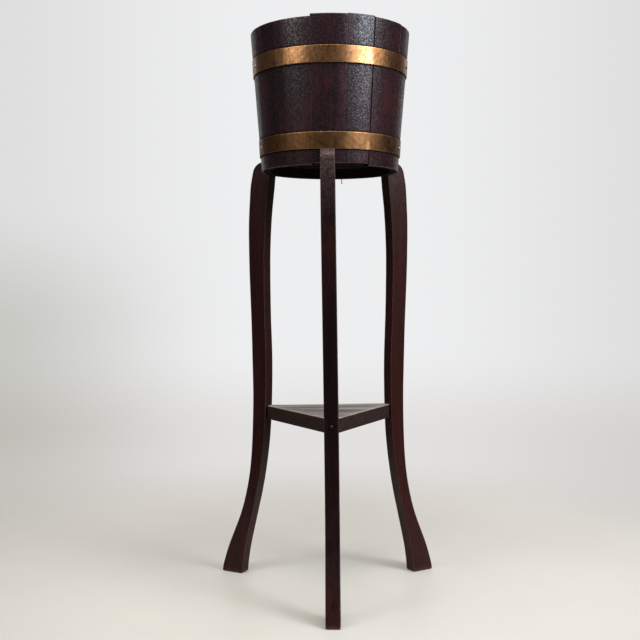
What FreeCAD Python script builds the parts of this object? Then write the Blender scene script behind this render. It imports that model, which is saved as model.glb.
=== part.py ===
import FreeCAD, Part
import math
import os

# Barrel plant stand: a tapered tub of oak staves with two brass hoops, carried on three shaped legs that a small
# three-cornered shelf ties together lower down. Millimetres, +Z up, the floor at zero, the front leg towards -Y.
# Angles round the stand are in degrees from the front and grow towards +X.

# Tub and its staves
stand_height = 732.0                # floor to the underside of the staves
tub_height = 235.0                  # length of a stave, measured upright
tub_base_radius = 118.5             # outside of the staves at their underside
tub_rim_radius = 137.7              # outside of the staves at the rim
stave_thickness = 13.0
stave_end_bevel = 1.2               # on both ends of a stave, outside and inside
stave_arris = 0.35                  # bevel along the outer edges of a stave
stave_creep = 3.0                   # how far the front staves have worked upwards
open_joint_gap = 0.9                # width of a joint that has dried open
first_joint_angle = -13.6           # joint at the left of the front stave
stave_angle_shares = (25.9, 20.0, 27.7, 26.5, 25.5, 26.5, 24.5, 25.0, 22.0, 25.5, 28.5, 29.5, 24.5, 28.4)
top_creep_shares = (1.2, 1.45, 0.95, 0.6, 0, 0, 0, 0, 0, 0, 0, 0, 0, 0)
base_creep_shares = (0.9, 1.0, 0, 0, 0, 0, 0, 0, 0, 0, 0, 0, 0, 0)
open_joint_staves = (2, 6)          # staves whose first joint stands open

# Bottom of the tub: three boards doweled edge to edge, held in a groove round the staves
recess_depth = 16.0                 # underside of the staves up to the boards
board_thickness = 12.0
middle_board_width = 78.0
board_direction = 22.0              # degrees between the boards and the X axis
board_edge_bevel = 14.0             # width of the bevel that thins the boards towards the groove
groove_width = 5.4
groove_depth = 5.0
groove_play = 0.2
dowel_radius = 3.0
dowel_length = 26.0
dowel_spacing = 96.0
dowel_play = 0.1

# Brass hoops
hoop_width = 27.4
hoop_thickness = 1.2
hoop_bevel = 0.25
hoop_play = 0.05                    # between hoop and staves at the hoop's upper edge
hoop_spring = 0.8                   # further gap at its lower edge
lower_hoop_rise = 25.0              # underside of the staves up to the lower hoop
upper_hoop_drop = 46.0              # rim down to the upper hoop
lower_lap_angle = 192.0
upper_lap_angle = 176.0
lap_length = 36.0
lap_play = 0.1
joggle_length = 5.0                 # over which the strip steps out over its own end
joggle_gap = 0.6
rivet_head_radius = 3.0
rivet_head_height = 1.3
rivet_radius = 1.5
rivet_spacing = 17.0
rivet_play = 0.05

# Round-headed brass pins that hold the hoops up
left_pin_angle = -70.0
lower_right_pin_angle = 75.5
upper_right_pin_angle = 77.5
pin_rise_share = 0.47               # of the hoop's width
pin_head_radius = 2.6
pin_head_height = 1.5
pin_radius = 0.8
pin_length = 11.0
pin_play = 0.05

# Legs
front_leg_angle = -1.5
right_leg_angle = 121.1
left_leg_angle = 243.2
front_leg_lean = 0.865              # degrees sideways, foot towards +X
leg_width = 23.5                    # measured round the stand
leg_lap = 24.0                      # how far a leg stands up the side of the tub
leg_seat = 3.0                      # ledge that reaches in under the staves
shoulder_depth = 32.5               # depth of a leg outside the staves
shoulder_radius = 22.0
shoulder_start = 0.11               # share of that quarter round where the outer edge runs into it
waist_height = 345.0                # where the legs stand closest together
waist_reach = 151.3                 # axis of the tub to the outer edge there
waist_depth = 27.9
foot_reach = 218.8
foot_depth = 42.6
hip_swell = 8.4                     # outward bow of a leg between waist and tub
leg_round = 1.2                     # on the four long edges
sole_bevel = 1.8
glue_line = 0.05

# Side outline of a leg below the waist: share of the waist height, then the share of the way from waist to foot
# that its outer and inner edges have gone
lower_leg_shares = (
    (0.00, 1.00, 1.00),
    (0.065, 0.93, 0.96),
    (0.13, 0.82, 0.89),
    (0.22, 0.63, 0.755),
    (0.32, 0.415, 0.595),
    (0.435, 0.235, 0.41),
    (0.58, 0.095, 0.225),
    (0.755, 0.025, 0.075),
    (1.00, 0.00, 0.00),
)
# Above the waist: share of the way up to the tub, then how far the outer and inner edges bow out from a straight
# line, as shares of the hip swell
upper_leg_shares = (
    (0.14, 0.165, 0.08),
    (0.32, 0.411, 0.543),
    (0.50, 0.80, 0.875),
    (0.65, 1.00, 1.00),
    (0.785, 1.00, 0.82),
    (0.89, 0.733, 0.455),
    (0.96, 0.405, 0.129),
    (1.00, 0.00, 0.00),
)

# Round of a leg's long edges in two flats: share of the round in from the side face and in from the edge
round_shares = ((0.0, 1.0), (0.3, 0.3), (1.0, 0.0))

# Shelf between the legs
shelf_top_height = 316.3            # on the axis of the tub
shelf_thickness = 24.5
shelf_reach = 138.0                 # axis to the point where two edges would meet
shelf_turn = 2.0                    # degrees round the axis
shelf_tilt = 0.54                   # degrees, right side up
shelf_round = 1.2
shelf_play = 0.05

# Round-headed wood screws: legs to shelf, and tub to legs
screw_head_radius = 3.8
screw_head_height = 2.6
screw_slot_width = 1.0
screw_slot_depth = 1.2
screw_radius = 2.1
screw_point_length = 6.0
screw_play = 0.1
screw_seat = 0.8                    # depth of the flat cut for a head
shelf_screw_rise = 2.5              # above the middle of the shelf's edge
shelf_screw_length = 48.0
tub_screw_rise = 9.5                # above the underside of the staves
tub_screw_length = 30.0

# Small nail under the rim at the back
nail_angle = 168.7
nail_lean = -4.0                    # degrees sideways
nail_radius = 0.7
nail_length = 24.0
nail_out = 8.5                      # length that stands out below the stave
nail_head_radius = 1.5
nail_head_thickness = 0.8
nail_play = 0.05

overrun = 5.0                       # by which every cutting body passes the piece that it cuts
near = 0.01                         # closeness at which two places count as one
search_share = 1e-7                 # of a curve, at which a search along it stops
full_turn = 360.0
quarter_turn = 90.0

UP = FreeCAD.Vector(0, 0, 1)
RADIAL = FreeCAD.Vector(1, 0, 0)
ROUND = FreeCAD.Vector(0, 1, 0)
ORIGIN = FreeCAD.Vector(0, 0, 0)

tub_rim_height = stand_height + tub_height
tub_flare = (tub_rim_radius - tub_base_radius) / tub_height
leg_top_height = stand_height + leg_lap

lap_angles = {"hoop_lower": lower_lap_angle, "hoop_upper": upper_lap_angle}
pin_angles = {
    "hoop_lower": (left_pin_angle, lower_right_pin_angle),
    "hoop_upper": (left_pin_angle, upper_right_pin_angle),
}
leg_angles = {"leg_front": front_leg_angle, "leg_right": right_leg_angle, "leg_left": left_leg_angle}
leg_leans = {"leg_front": front_leg_lean, "leg_right": 0, "leg_left": 0}


def tub_radius(height):
    """Outside radius of the staves at a height above the floor."""
    return tub_base_radius + (height - stand_height) * tub_flare


def upright(points):
    """Face in the plane of the tub's axis from (radius, height) points."""
    corners = [FreeCAD.Vector(radius, 0, height) for radius, height in points]
    return Part.Face(Part.makePolygon(corners + corners[:1]))


def turned(points, sweep=full_turn):
    """Body that an upright outline makes when it turns about the tub's axis."""
    return upright(points).revolve(ORIGIN, UP, sweep)


def face_outwards(shape, angle):
    """Turn a shape built towards +X so that it points at an angle from the front."""
    shape.rotate(ORIGIN, UP, angle - quarter_turn)
    return shape


def stave_start(index):
    """Angle of a stave's first joint."""
    whole = sum(stave_angle_shares)
    return first_joint_angle + full_turn * sum(stave_angle_shares[:index]) / whole


def stave_at(angle):
    """Number of the stave that an angle falls in."""
    past_first = (angle - first_joint_angle) % full_turn
    starts = [stave_start(index) - first_joint_angle for index in range(len(stave_angle_shares))]
    return max(index for index, start in enumerate(starts) if start <= past_first)


def stave_base(index):
    """Height of a stave's underside."""
    return stand_height + stave_creep * base_creep_shares[index]


def make_stave(index):
    """One stave: a slice of the tapered wall with bevelled ends, a groove for the boards and eased outer edges."""
    low = stave_base(index)
    high = tub_rim_height + stave_creep * top_creep_shares[index]
    groove_middle = stand_height + recess_depth + board_thickness / 2
    groove_low = groove_middle - groove_width / 2
    groove_high = groove_middle + groove_width / 2
    groove_wall = tub_radius(groove_middle) - stave_thickness + groove_depth

    def outer(height):
        return tub_radius(height), height

    def inner(height):
        return tub_radius(height) - stave_thickness, height

    outline = [
        outer(low + stave_end_bevel),
        outer(high - stave_end_bevel),
        (tub_radius(high) - stave_end_bevel, high),
        (tub_radius(high) - stave_thickness + stave_end_bevel, high),
        inner(high - stave_end_bevel),
        inner(groove_high),
        (groove_wall, groove_high),
        (groove_wall, groove_low),
        inner(groove_low),
        inner(low + stave_end_bevel),
        (tub_radius(low) - stave_thickness + stave_end_bevel, low),
        (tub_radius(low) - stave_end_bevel, low),
    ]
    start = stave_start(index)
    end = stave_start(index + 1)
    if index in open_joint_staves:
        start += math.degrees(open_joint_gap / tub_rim_radius)
    stave = turned(outline, end - start)

    def on_outside(point):
        return abs(math.hypot(point.x, point.y) - tub_radius(point.z)) < near

    long_edges = [
        edge for edge in stave.Edges
        if edge.Length > tub_height / 2 and all(on_outside(vertex.Point) for vertex in edge.Vertexes)
    ]
    stave = stave.makeChamfer(stave_arris, long_edges)
    return face_outwards(stave, start)


def make_boards():
    """Disc that fills the bottom of the tub, thinned to a tongue at its edge and split into three boards."""
    low = stand_height + recess_depth
    high = low + board_thickness
    middle = (low + high) / 2
    tongue = groove_width / 2 - groove_play
    wall = tub_radius(low) - stave_thickness
    tongue_root = wall - groove_play
    tongue_tip = tub_radius(middle) - stave_thickness + groove_depth - groove_play
    disc = turned([
        (0, low),
        (tongue_root - board_edge_bevel, low),
        (tongue_root, middle - tongue),
        (tongue_tip, middle - tongue),
        (tongue_tip, middle + tongue),
        (tongue_root, middle + tongue),
        (tongue_root - board_edge_bevel, high),
        (0, high),
    ])
    reach = tongue_tip + overrun
    strips = [(-reach, -middle_board_width / 2), (-middle_board_width / 2, middle_board_width / 2),
              (middle_board_width / 2, reach)]
    boards = []
    for near_side, far_side in strips:
        corner = FreeCAD.Vector(-reach, near_side, low - overrun)
        strip = Part.makeBox(2 * reach, far_side - near_side, board_thickness + 2 * overrun, corner)
        boards.append(disc.common(strip))
    return boards


def make_dowels(radius, length):
    """Dowels across the two joints between the boards."""
    height = stand_height + recess_depth + board_thickness / 2
    dowels = []
    for side in (-1, 1):
        for along in (-1, 1):
            start = FreeCAD.Vector(
                along * dowel_spacing / 2, side * middle_board_width / 2 - length / 2, height)
            dowels.append(Part.makeCylinder(radius, length, start, ROUND))
    return dowels


def bottom_of_tub():
    """The three boards with their dowel holes, and the dowels, laid in the direction of the boards."""
    holes = make_dowels(dowel_radius + dowel_play, dowel_length + 2 * dowel_play)
    boards = [board.cut(holes) for board in make_boards()]
    dowels = make_dowels(dowel_radius, dowel_length)
    for shape in boards + dowels:
        shape.rotate(ORIGIN, UP, board_direction)
    return boards, dowels


def hoop_low_height(name):
    """Height of a hoop's lower edge."""
    if name == "hoop_lower":
        return stand_height + lower_hoop_rise
    return tub_rim_height - upper_hoop_drop - hoop_width


def hoop_inside(name, height):
    """Inside radius of a hoop, which flares less than the tub."""
    low = hoop_low_height(name)
    share_down = (low + hoop_width - height) / hoop_width
    top_radius = tub_radius(low + hoop_width) + hoop_play
    low_radius = tub_radius(low) + hoop_play + hoop_spring
    return top_radius + (low_radius - top_radius) * share_down


def hoop_section(name, step_out):
    """Upright section of the strip, stepped out by the given amount."""
    low = hoop_low_height(name)
    high = low + hoop_width
    inside_low = hoop_inside(name, low) + step_out
    inside_high = hoop_inside(name, high) + step_out
    return [
        (inside_low, low),
        (inside_low + hoop_thickness - hoop_bevel, low),
        (inside_low + hoop_thickness, low + hoop_bevel),
        (inside_high + hoop_thickness, high - hoop_bevel),
        (inside_high + hoop_thickness - hoop_bevel, high),
        (inside_high, high),
    ]


def make_hoop(name):
    """Strip that goes once round the tub, steps out and laps over its own end."""
    radius = hoop_inside(name, hoop_low_height(name))
    lap = math.degrees(lap_length / radius)
    joggle = math.degrees(joggle_length / radius)
    gap = math.degrees(joggle_gap / radius)
    flat = hoop_section(name, 0)
    raised = hoop_section(name, hoop_thickness + lap_play)
    band = turned(flat, full_turn - joggle)
    over = turned(raised, lap + gap)
    over.rotate(ORIGIN, UP, -gap)
    foot = upright(flat).OuterWire
    foot.rotate(ORIGIN, UP, -joggle)
    head = upright(raised).OuterWire
    head.rotate(ORIGIN, UP, -gap)
    step = Part.makeLoft([foot, head], True, True)
    hoop = band.fuse([step, over]).removeSplitter()
    return face_outwards(hoop, lap_angles[name] - lap / 2)


def domed_head(radius, height):
    """Round head that stands on the plane x = 0 and points to +X."""
    rim = FreeCAD.Vector(0, 0, radius)
    crown = FreeCAD.Vector(height, 0, 0)
    dome_radius = (radius * radius + height * height) / (2 * height)
    half_way = math.asin(radius / dome_radius) / 2
    middle = FreeCAD.Vector(
        height - dome_radius + dome_radius * math.cos(half_way), 0, dome_radius * math.sin(half_way))
    outline = Part.Wire([
        Part.makeLine(ORIGIN, rim), Part.Arc(rim, middle, crown).toShape(), Part.makeLine(crown, ORIGIN)])
    return Part.Face(outline).revolve(ORIGIN, RADIAL, full_turn)


def shank(radius, length, point=0):
    """Shank that runs from the plane x = 0 towards -X, with a point of the given length."""
    inwards = FreeCAD.Vector(-1, 0, 0)
    body = Part.makeCylinder(radius, length - point, ORIGIN, inwards)
    if point:
        body = body.fuse(Part.makeCone(radius, radius / 4, point, inwards * (length - point), inwards))
    return body


def drilled(radius, depth):
    """Body that cuts a hole from outside the plane x = 0 down to a depth behind it."""
    body = shank(radius, depth + overrun)
    body.translate(RADIAL * overrun)
    return body


def on_hoop(name, angle, height, shape, step_out=0):
    """Set a fastener square on the outside of a hoop."""
    lean = math.degrees(math.atan2(
        hoop_inside(name, height + hoop_width) - hoop_inside(name, height), hoop_width))
    shape.rotate(ORIGIN, ROUND, lean)
    shape.translate(FreeCAD.Vector(hoop_inside(name, height) + hoop_thickness + step_out, 0, height))
    return face_outwards(shape, angle)


def hoop_pins(name, pins_only=True):
    """Pins of a hoop, or the bodies that cut their holes."""
    height = hoop_low_height(name) + hoop_width * pin_rise_share
    shapes = []
    for angle in pin_angles[name]:
        if pins_only:
            shape = domed_head(pin_head_radius, pin_head_height).fuse(shank(pin_radius, pin_length, pin_radius))
        else:
            shape = drilled(pin_radius + pin_play, pin_length + pin_play)
        shapes.append(on_hoop(name, angle, height, shape))
    return shapes


def hoop_rivets(name, rivets_only=True):
    """Rivets through the lap of a hoop, or the bodies that cut their holes."""
    height = hoop_low_height(name) + hoop_width / 2
    radius = hoop_inside(name, height)
    step_out = hoop_thickness + lap_play
    shapes = []
    for side in (-1, 1):
        angle = lap_angles[name] + side * math.degrees(rivet_spacing / 2 / radius)
        if rivets_only:
            tail = shank(rivet_radius, hoop_thickness + step_out)
            shape = domed_head(rivet_head_radius, rivet_head_height).fuse(tail)
        else:
            shape = drilled(rivet_radius + rivet_play, hoop_thickness + step_out + overrun)
        shapes.append(on_hoop(name, angle, height, shape, step_out))
    return shapes


def shoulder_point(share, inset=0):
    """(radius, height) of a point on the round of a leg's shoulder, a share of the quarter turn up from its start."""
    bend = shoulder_radius - inset
    turn = math.radians(quarter_turn * share)
    middle = tub_base_radius + shoulder_depth - shoulder_radius
    return middle + bend * math.cos(turn), leg_top_height - shoulder_radius + bend * math.sin(turn)


def leg_edge_points(column, inset=0):
    """(radius, height) points of a leg's outer edge (column 1) or inner edge (column 2), drawn in by an inset."""
    if column == 1:
        foot, waist = foot_reach, waist_reach
        top, top_height = shoulder_point(shoulder_start)
        step_in = -inset
    else:
        foot, waist = foot_reach - foot_depth, waist_reach - waist_depth
        top, top_height = tub_base_radius - leg_seat, stand_height
        step_in = inset
    points = []
    for row in lower_leg_shares:
        points.append((waist + (foot - waist) * row[column] + step_in, waist_height * row[0]))
    for row in upper_leg_shares:
        height = waist_height + (top_height - waist_height) * row[0]
        points.append((waist + (top - waist) * row[0] + hip_swell * row[column] + step_in, height))
    if column == 1:
        points[-1] = shoulder_point(shoulder_start, inset)
    return points


def leg_edge_curve(column, inset=0):
    """Smooth curve through the points of a leg's outer or inner edge, upright at the floor."""
    points = [FreeCAD.Vector(radius, 0, height) for radius, height in leg_edge_points(column, inset)]
    end_tangent = (points[-1] - points[-2]).normalize()
    if column == 1:
        turn = math.radians(quarter_turn * shoulder_start)
        end_tangent = FreeCAD.Vector(-math.sin(turn), 0, math.cos(turn))
    curve = Part.BSplineCurve()
    curve.interpolate(Points=points, InitialTangent=UP, FinalTangent=end_tangent, Scale=False)
    return curve


def reach_at(curve, height):
    """Radius at which a rising curve passes a height."""
    low, high = curve.FirstParameter, curve.LastParameter
    while high - low > search_share * (curve.LastParameter - curve.FirstParameter):
        middle = (low + high) / 2
        if curve.value(middle).z < height:
            low = middle
        else:
            high = middle
    return curve.value(low).x


def leg_outline(inset, across):
    """Side outline of a leg, drawn in by an inset, at a place across its width. It runs on below the floor."""
    outer = leg_edge_curve(1, inset)
    inner = leg_edge_curve(2, inset)
    foot_out, foot_in = outer.value(outer.FirstParameter), inner.value(inner.FirstParameter)
    seat = inner.value(inner.LastParameter)
    below = UP * -overrun
    shares = (shoulder_start, (shoulder_start + 1) / 2, 1)
    arc_start, arc_middle, arc_end = [
        FreeCAD.Vector(radius, 0, height) for radius, height in [shoulder_point(share, inset) for share in shares]]
    back = FreeCAD.Vector(seat.x, 0, arc_end.z)
    outline = Part.Wire([
        Part.makeLine(foot_in + below, foot_out + below),
        Part.makeLine(foot_out + below, foot_out),
        outer.toShape(),
        Part.Arc(arc_start, arc_middle, arc_end).toShape(),
        Part.makeLine(arc_end, back),
        Part.makeLine(back, seat),
        inner.toShape(),
        Part.makeLine(foot_in, foot_in + below),
    ])
    outline.translate(ROUND * across)
    return outline


def sole_room():
    """Body that widens upwards from the sole at 45 degrees and so bevels the sole's edges."""
    low, high = -overrun, leg_top_height + overrun
    shrink, grow = sole_bevel - low, high - sole_bevel
    back, front, side = foot_reach - foot_depth, foot_reach, leg_width / 2
    room = Part.makeWedge(
        back + shrink, low, shrink - side, -side - grow, back - grow,
        front - shrink, high, side - shrink, side + grow, front + grow)
    room.rotate(ORIGIN, RADIAL, quarter_turn)
    return room


def leg_blank():
    """Leg sawn from the plank, before it is fitted: its side outline carried across its width, with eased edges."""
    half = leg_width / 2
    near_side = [(leg_round * edge, half - leg_round * side) for side, edge in round_shares]
    sections = [leg_outline(inset, across) for inset, across in near_side]
    sections += [leg_outline(inset, -across) for inset, across in reversed(near_side)]
    return Part.makeLoft(sections, True, True).common(sole_room())


def set_on_leg(shape, name):
    """Move a shape from the upright plane of a leg to the leg's lean and place."""
    shape.rotate(UP * stand_height, RADIAL, leg_leans[name])
    return face_outwards(shape, leg_angles[name])


def screw(length, hole=False):
    """Wood screw with a slotted round head, or the body that cuts its hole and the flat under its head."""
    if hole:
        seat = Part.makeCylinder(screw_head_radius + screw_play, overrun, ORIGIN, RADIAL)
        return shank(screw_radius + screw_play, length + screw_play).fuse(seat)
    head = domed_head(screw_head_radius, screw_head_height)
    corner = FreeCAD.Vector(screw_head_height - screw_slot_depth, -screw_head_radius, -screw_slot_width / 2)
    slot = Part.makeBox(overrun, 2 * screw_head_radius, screw_slot_width, corner)
    return head.cut(slot).fuse(shank(screw_radius, length, screw_point_length))


def shelf_screw(name, hole=False):
    """Screw through a leg into a corner of the shelf."""
    lift = shelf_reach * math.sin(math.radians(leg_angles[name])) * math.tan(math.radians(shelf_tilt))
    height = shelf_top_height - shelf_thickness / 2 + lift + shelf_screw_rise
    face = reach_at(leg_edge_curve(1), height) - screw_seat / 2
    shape = screw(shelf_screw_length, hole)
    shape.translate(FreeCAD.Vector(face, 0, height))
    return set_on_leg(shape, name)


def tub_screw(name, hole=False):
    """Screw from the recess under the tub, through a stave into the leg."""
    height = stand_height + tub_screw_rise
    face = tub_radius(height) - stave_thickness + screw_seat
    shape = screw(tub_screw_length, hole)
    shape.rotate(ORIGIN, UP, full_turn / 2)
    shape.translate(FreeCAD.Vector(face, 0, height))
    return set_on_leg(shape, name)


def make_leg(name):
    """Leg hollowed to the round of the tub, with a ledge under its stave, level with the floor below."""
    leg = set_on_leg(leg_blank(), name)
    seat_height = stave_base(stave_at(leg_angles[name]))
    above = leg_top_height + overrun
    tub = turned([
        (0, seat_height),
        (tub_radius(seat_height) + glue_line, seat_height),
        (tub_radius(above) + glue_line, above),
        (0, above),
    ])
    floor_reach = foot_reach + overrun
    corner = FreeCAD.Vector(-floor_reach, -floor_reach, -2 * overrun)
    floor = Part.makeBox(2 * floor_reach, 2 * floor_reach, 2 * overrun, corner)
    return leg.cut([tub, floor, shelf_screw(name, hole=True), tub_screw(name, hole=True)])


def outside_leg(name):
    """Everything outside the inner edge of a leg, to trim the shelf's corner to it."""
    inner = leg_edge_curve(2)
    foot, seat = inner.value(inner.FirstParameter), inner.value(inner.LastParameter)
    far = foot_reach + overrun
    far_low, far_high = FreeCAD.Vector(far, 0, foot.z), FreeCAD.Vector(far, 0, seat.z)
    outline = Part.Wire([
        Part.makeLine(foot, far_low), Part.makeLine(far_low, far_high), Part.makeLine(far_high, seat),
        inner.toShape()])
    face = Part.Face(outline)
    face.translate(FreeCAD.Vector(-shelf_play, -shelf_reach / 2, 0))
    return set_on_leg(face.extrude(ROUND * shelf_reach), name)


def make_shelf():
    """Shelf with a corner to each leg, eased edges, and its corners trimmed to the legs."""
    low = shelf_top_height - shelf_thickness
    corners = []
    for corner in range(len(leg_angles)):
        angle = math.radians(full_turn * corner / len(leg_angles) + shelf_turn)
        corners.append(FreeCAD.Vector(shelf_reach * math.sin(angle), -shelf_reach * math.cos(angle), low))
    shelf = Part.Face(Part.makePolygon(corners + corners[:1])).extrude(UP * shelf_thickness)
    level_edges = [edge for edge in shelf.Edges if edge.BoundBox.ZLength < near]
    shelf = shelf.makeFillet(shelf_round, level_edges)
    shelf.rotate(UP * shelf_top_height, ROUND, -shelf_tilt)
    shelf = shelf.cut([outside_leg(name) for name in leg_angles])
    return shelf.cut([shelf_screw(name, hole=True) for name in leg_angles])


def bottom_nail(hole=False):
    """Small nail in the underside of a back stave, standing out below it."""
    down = FreeCAD.Vector(0, 0, -1)
    start = UP * (nail_length - nail_out)
    if hole:
        nail = Part.makeCylinder(nail_radius + nail_play, nail_length + nail_play, start + UP * nail_play, down)
    else:
        head = Part.makeCylinder(nail_head_radius, nail_head_thickness, down * nail_out, UP)
        nail = Part.makeCylinder(nail_radius, nail_length, start, down).fuse(head)
    nail.rotate(ORIGIN, RADIAL, nail_lean)
    middle = tub_base_radius - stave_thickness / 2
    nail.translate(FreeCAD.Vector(middle, 0, stave_base(stave_at(nail_angle))))
    return face_outwards(nail, nail_angle)


def build():
    """Every node of the stand with its shapes, on the axis of the tub."""
    hoops = ("hoop_lower", "hoop_upper")
    nodes = {}
    pin_holes = [hole for name in hoops for hole in hoop_pins(name, pins_only=False)]
    screw_holes = [tub_screw(name, hole=True) for name in leg_angles]
    wall_cuts = pin_holes + screw_holes + [bottom_nail(hole=True)]
    for index in range(len(stave_angle_shares)):
        nodes["stave_%02d" % (index + 1)] = [make_stave(index).cut(wall_cuts)]
    boards, dowels = bottom_of_tub()
    for number, board in enumerate(boards, 1):
        nodes["bottom_board_%d" % number] = [board]
    nodes["bottom_dowels"] = dowels
    for name in hoops:
        holes = hoop_pins(name, pins_only=False) + hoop_rivets(name, rivets_only=False)
        nodes[name] = [make_hoop(name).cut(holes)]
        nodes[name + "_rivets"] = hoop_rivets(name)
        nodes[name + "_pins"] = hoop_pins(name)
    for name in leg_angles:
        nodes[name] = [make_leg(name)]
    nodes["shelf"] = [make_shelf()]
    nodes["shelf_screws"] = [shelf_screw(name) for name in leg_angles]
    nodes["tub_screws"] = [tub_screw(name) for name in leg_angles]
    nodes["bottom_nail"] = [bottom_nail()]
    return nodes


def centre_on_floor(nodes):
    """Move the whole stand so that the origin is the middle of its plan, and give the tub axis's new place."""
    box = Part.makeCompound([shape for shapes in nodes.values() for shape in shapes]).optimalBoundingBox()
    shift = FreeCAD.Vector(-(box.XMin + box.XMax) / 2, -(box.YMin + box.YMax) / 2, 0)
    for shapes in nodes.values():
        for shape in shapes:
            shape.translate(shift)
    return shift


def export(nodes):
    """Write one STEP file for each node."""
    os.makedirs("parts", exist_ok=True)
    for name, shapes in nodes.items():
        solids = [solid for shape in shapes for solid in shape.Solids]
        node = solids[0] if len(solids) == 1 else Part.makeCompound(solids)
        node.exportStep("parts/%s.step" % name)
        print("%-20s solids %2d  volume %.0f" % (name, len(solids), node.Volume))


stand = build()
tub_axis = centre_on_floor(stand)
print("tub axis at x %.3f y %.3f" % (tub_axis.x, tub_axis.y))
export(stand)
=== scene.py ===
import math

import bmesh
import bpy
import numpy as np
from bpy.props import FloatProperty, FloatVectorProperty, PointerProperty
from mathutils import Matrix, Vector, geometry


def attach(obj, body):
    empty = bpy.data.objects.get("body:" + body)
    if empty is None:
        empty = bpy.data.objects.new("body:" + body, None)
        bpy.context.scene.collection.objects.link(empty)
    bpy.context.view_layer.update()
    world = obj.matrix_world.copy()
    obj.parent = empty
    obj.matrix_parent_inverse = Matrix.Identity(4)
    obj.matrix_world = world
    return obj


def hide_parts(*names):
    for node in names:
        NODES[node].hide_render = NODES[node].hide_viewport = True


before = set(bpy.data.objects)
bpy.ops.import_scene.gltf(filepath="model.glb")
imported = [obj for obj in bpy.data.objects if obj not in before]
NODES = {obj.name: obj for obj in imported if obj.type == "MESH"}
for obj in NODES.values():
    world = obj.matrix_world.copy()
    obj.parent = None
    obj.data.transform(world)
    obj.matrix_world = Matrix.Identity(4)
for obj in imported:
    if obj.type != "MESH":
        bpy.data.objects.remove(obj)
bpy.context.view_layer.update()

bl_info = {
    "name": "Barrel plant stand",
    "version": (1, 0, 0),
    "blender": (4, 5, 0),
    "location": "3D View > Sidebar > Plant stand",
    "description": "Shapes and finishes the staves, hoops, legs and shelf of a coopered plant stand",
    "category": "Object",
}

# Lengths are in metres. Angles round the tub are in radians from the front and grow towards +X.

STAVES = sorted(name for name in NODES if name.startswith("stave_"))
BOARDS = sorted(name for name in NODES if name.startswith("bottom_board_"))
LEGS = sorted(name for name in NODES if name.startswith("leg_"))
HOOPS = ("hoop_lower", "hoop_upper")
MM = 0.001
TURN = 2 * math.pi
SAME = 0.05 * MM  # two measured lengths this close count as one
JOINED = SAME / 10  # corners this close are made one
LEVEL_EDGE = SAME / 1000  # an edge that rises less than this is level


# Measuring the frame

def mesh_points(mesh):
    """The corner points of a mesh, as rows of x, y and z."""
    points = np.zeros(len(mesh.vertices) * 3)
    mesh.vertices.foreach_get("co", points)
    return points.reshape(-1, 3)


def points_of(*names):
    """The corner points of some nodes, as rows of x, y and z."""
    return np.concatenate([mesh_points(NODES[name].data) for name in names])


def triangles_of(name):
    """The triangles of a node: triangle by corner by x, y and z."""
    mesh = NODES[name].data
    mesh.calc_loop_triangles()
    corners = np.zeros(len(mesh.loop_triangles) * 3, np.int32)
    mesh.loop_triangles.foreach_get("vertices", corners)
    return points_of(name)[corners].reshape(-1, 3, 3)


def tub_axis():
    """The tub's axis stands in the middle of its round bottom's box."""
    points = points_of(*BOARDS)
    return np.append((points.min(0) + points.max(0))[:2] / 2, 0.0)


AXIS = tub_axis()


def round_axis(points):
    """Angle, radius and height of points round the tub's axis."""
    off = points - AXIS
    return np.arctan2(off[:, 0], -off[:, 1]), np.hypot(off[:, 0], off[:, 1]), off[:, 2]


def off_axis(angle, radius, height):
    """Points at these angles, radii and heights round the tub's axis."""
    angle, radius, height = np.broadcast_arrays(angle, radius, height)
    return np.stack([radius * np.sin(angle), -radius * np.cos(angle), height], axis=-1) + AXIS


def nearest(angle, middle):
    """Angles moved by whole turns to within half a turn of a middle one."""
    return middle + (angle - middle + math.pi) % TURN - math.pi


def middle_angle(name):
    """Angle at which the middle of a node stands."""
    points = points_of(name)
    return float(round_axis((points.min(0) + points.max(0))[None, :] / 2)[0][0])


FOOT_ZONE = 3 * MM  # lowest part of the staves, where the widest corner of their foot is looked for
RIM_HALF = math.radians(10)  # how far round from the widest corner of the rim its others are looked for
TONGUE_TIP = 0.3 * MM  # outermost part of the tongue round the bottom


def measure_wall():
    """The staves' flare, foot, thickness and end bevel, read from their outermost and lowest corners."""
    angle, radius, height = round_axis(points_of(*STAVES))
    rim = np.argmax(radius)
    foot = np.argmax(np.where(height < height.min() + FOOT_ZONE, radius, 0))
    beside = np.abs(nearest(angle, angle[rim]) - angle[rim]) < RIM_HALF
    level = beside & (np.abs(height - height[rim]) < SAME)
    return {
        "flare": (radius[rim] - radius[foot]) / (height[rim] - height[foot]),
        "radius": radius[foot],
        "height": height[foot],
        "thickness": radius[rim] - radius[level].min(),
        "bevel": height[beside].max() - height[rim],
    }


WALL = measure_wall()


def wall_radius(height):
    """Outside radius of the tub: it grows evenly with the height."""
    return WALL["radius"] + (height - WALL["height"]) * WALL["flare"]


def measure_tongue():
    """Radius, underside and top of the tongue round the bottom boards."""
    _, radius, height = round_axis(points_of(*BOARDS))
    tip = height[radius > radius.max() - TONGUE_TIP]
    return radius.max(), tip.min(), tip.max()


def measure_stave(name):
    """Start angle, end angle, foot and top of a stave."""
    angle, _, height = round_axis(points_of(name))
    angle = nearest(angle, middle_angle(name))
    return angle.min(), angle.max(), height.min(), height.max()


SPANS = {name: measure_stave(name) for name in STAVES}


def planed_depth(angle):
    """How far the chord between a stave's joints lies inside the circle: nothing at a joint, most midway."""
    angle = np.asarray(angle, float)
    depth = np.zeros_like(angle)
    for start, end, _, _ in SPANS.values():
        middle, half = (start + end) / 2, (end - start) / 2
        off = nearest(angle, middle) - middle
        chord = WALL["radius"] * (1 - math.cos(half) / np.cos(np.clip(off, -half, half)))
        depth = np.where(np.abs(off) <= half, chord, depth)
    return depth


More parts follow.
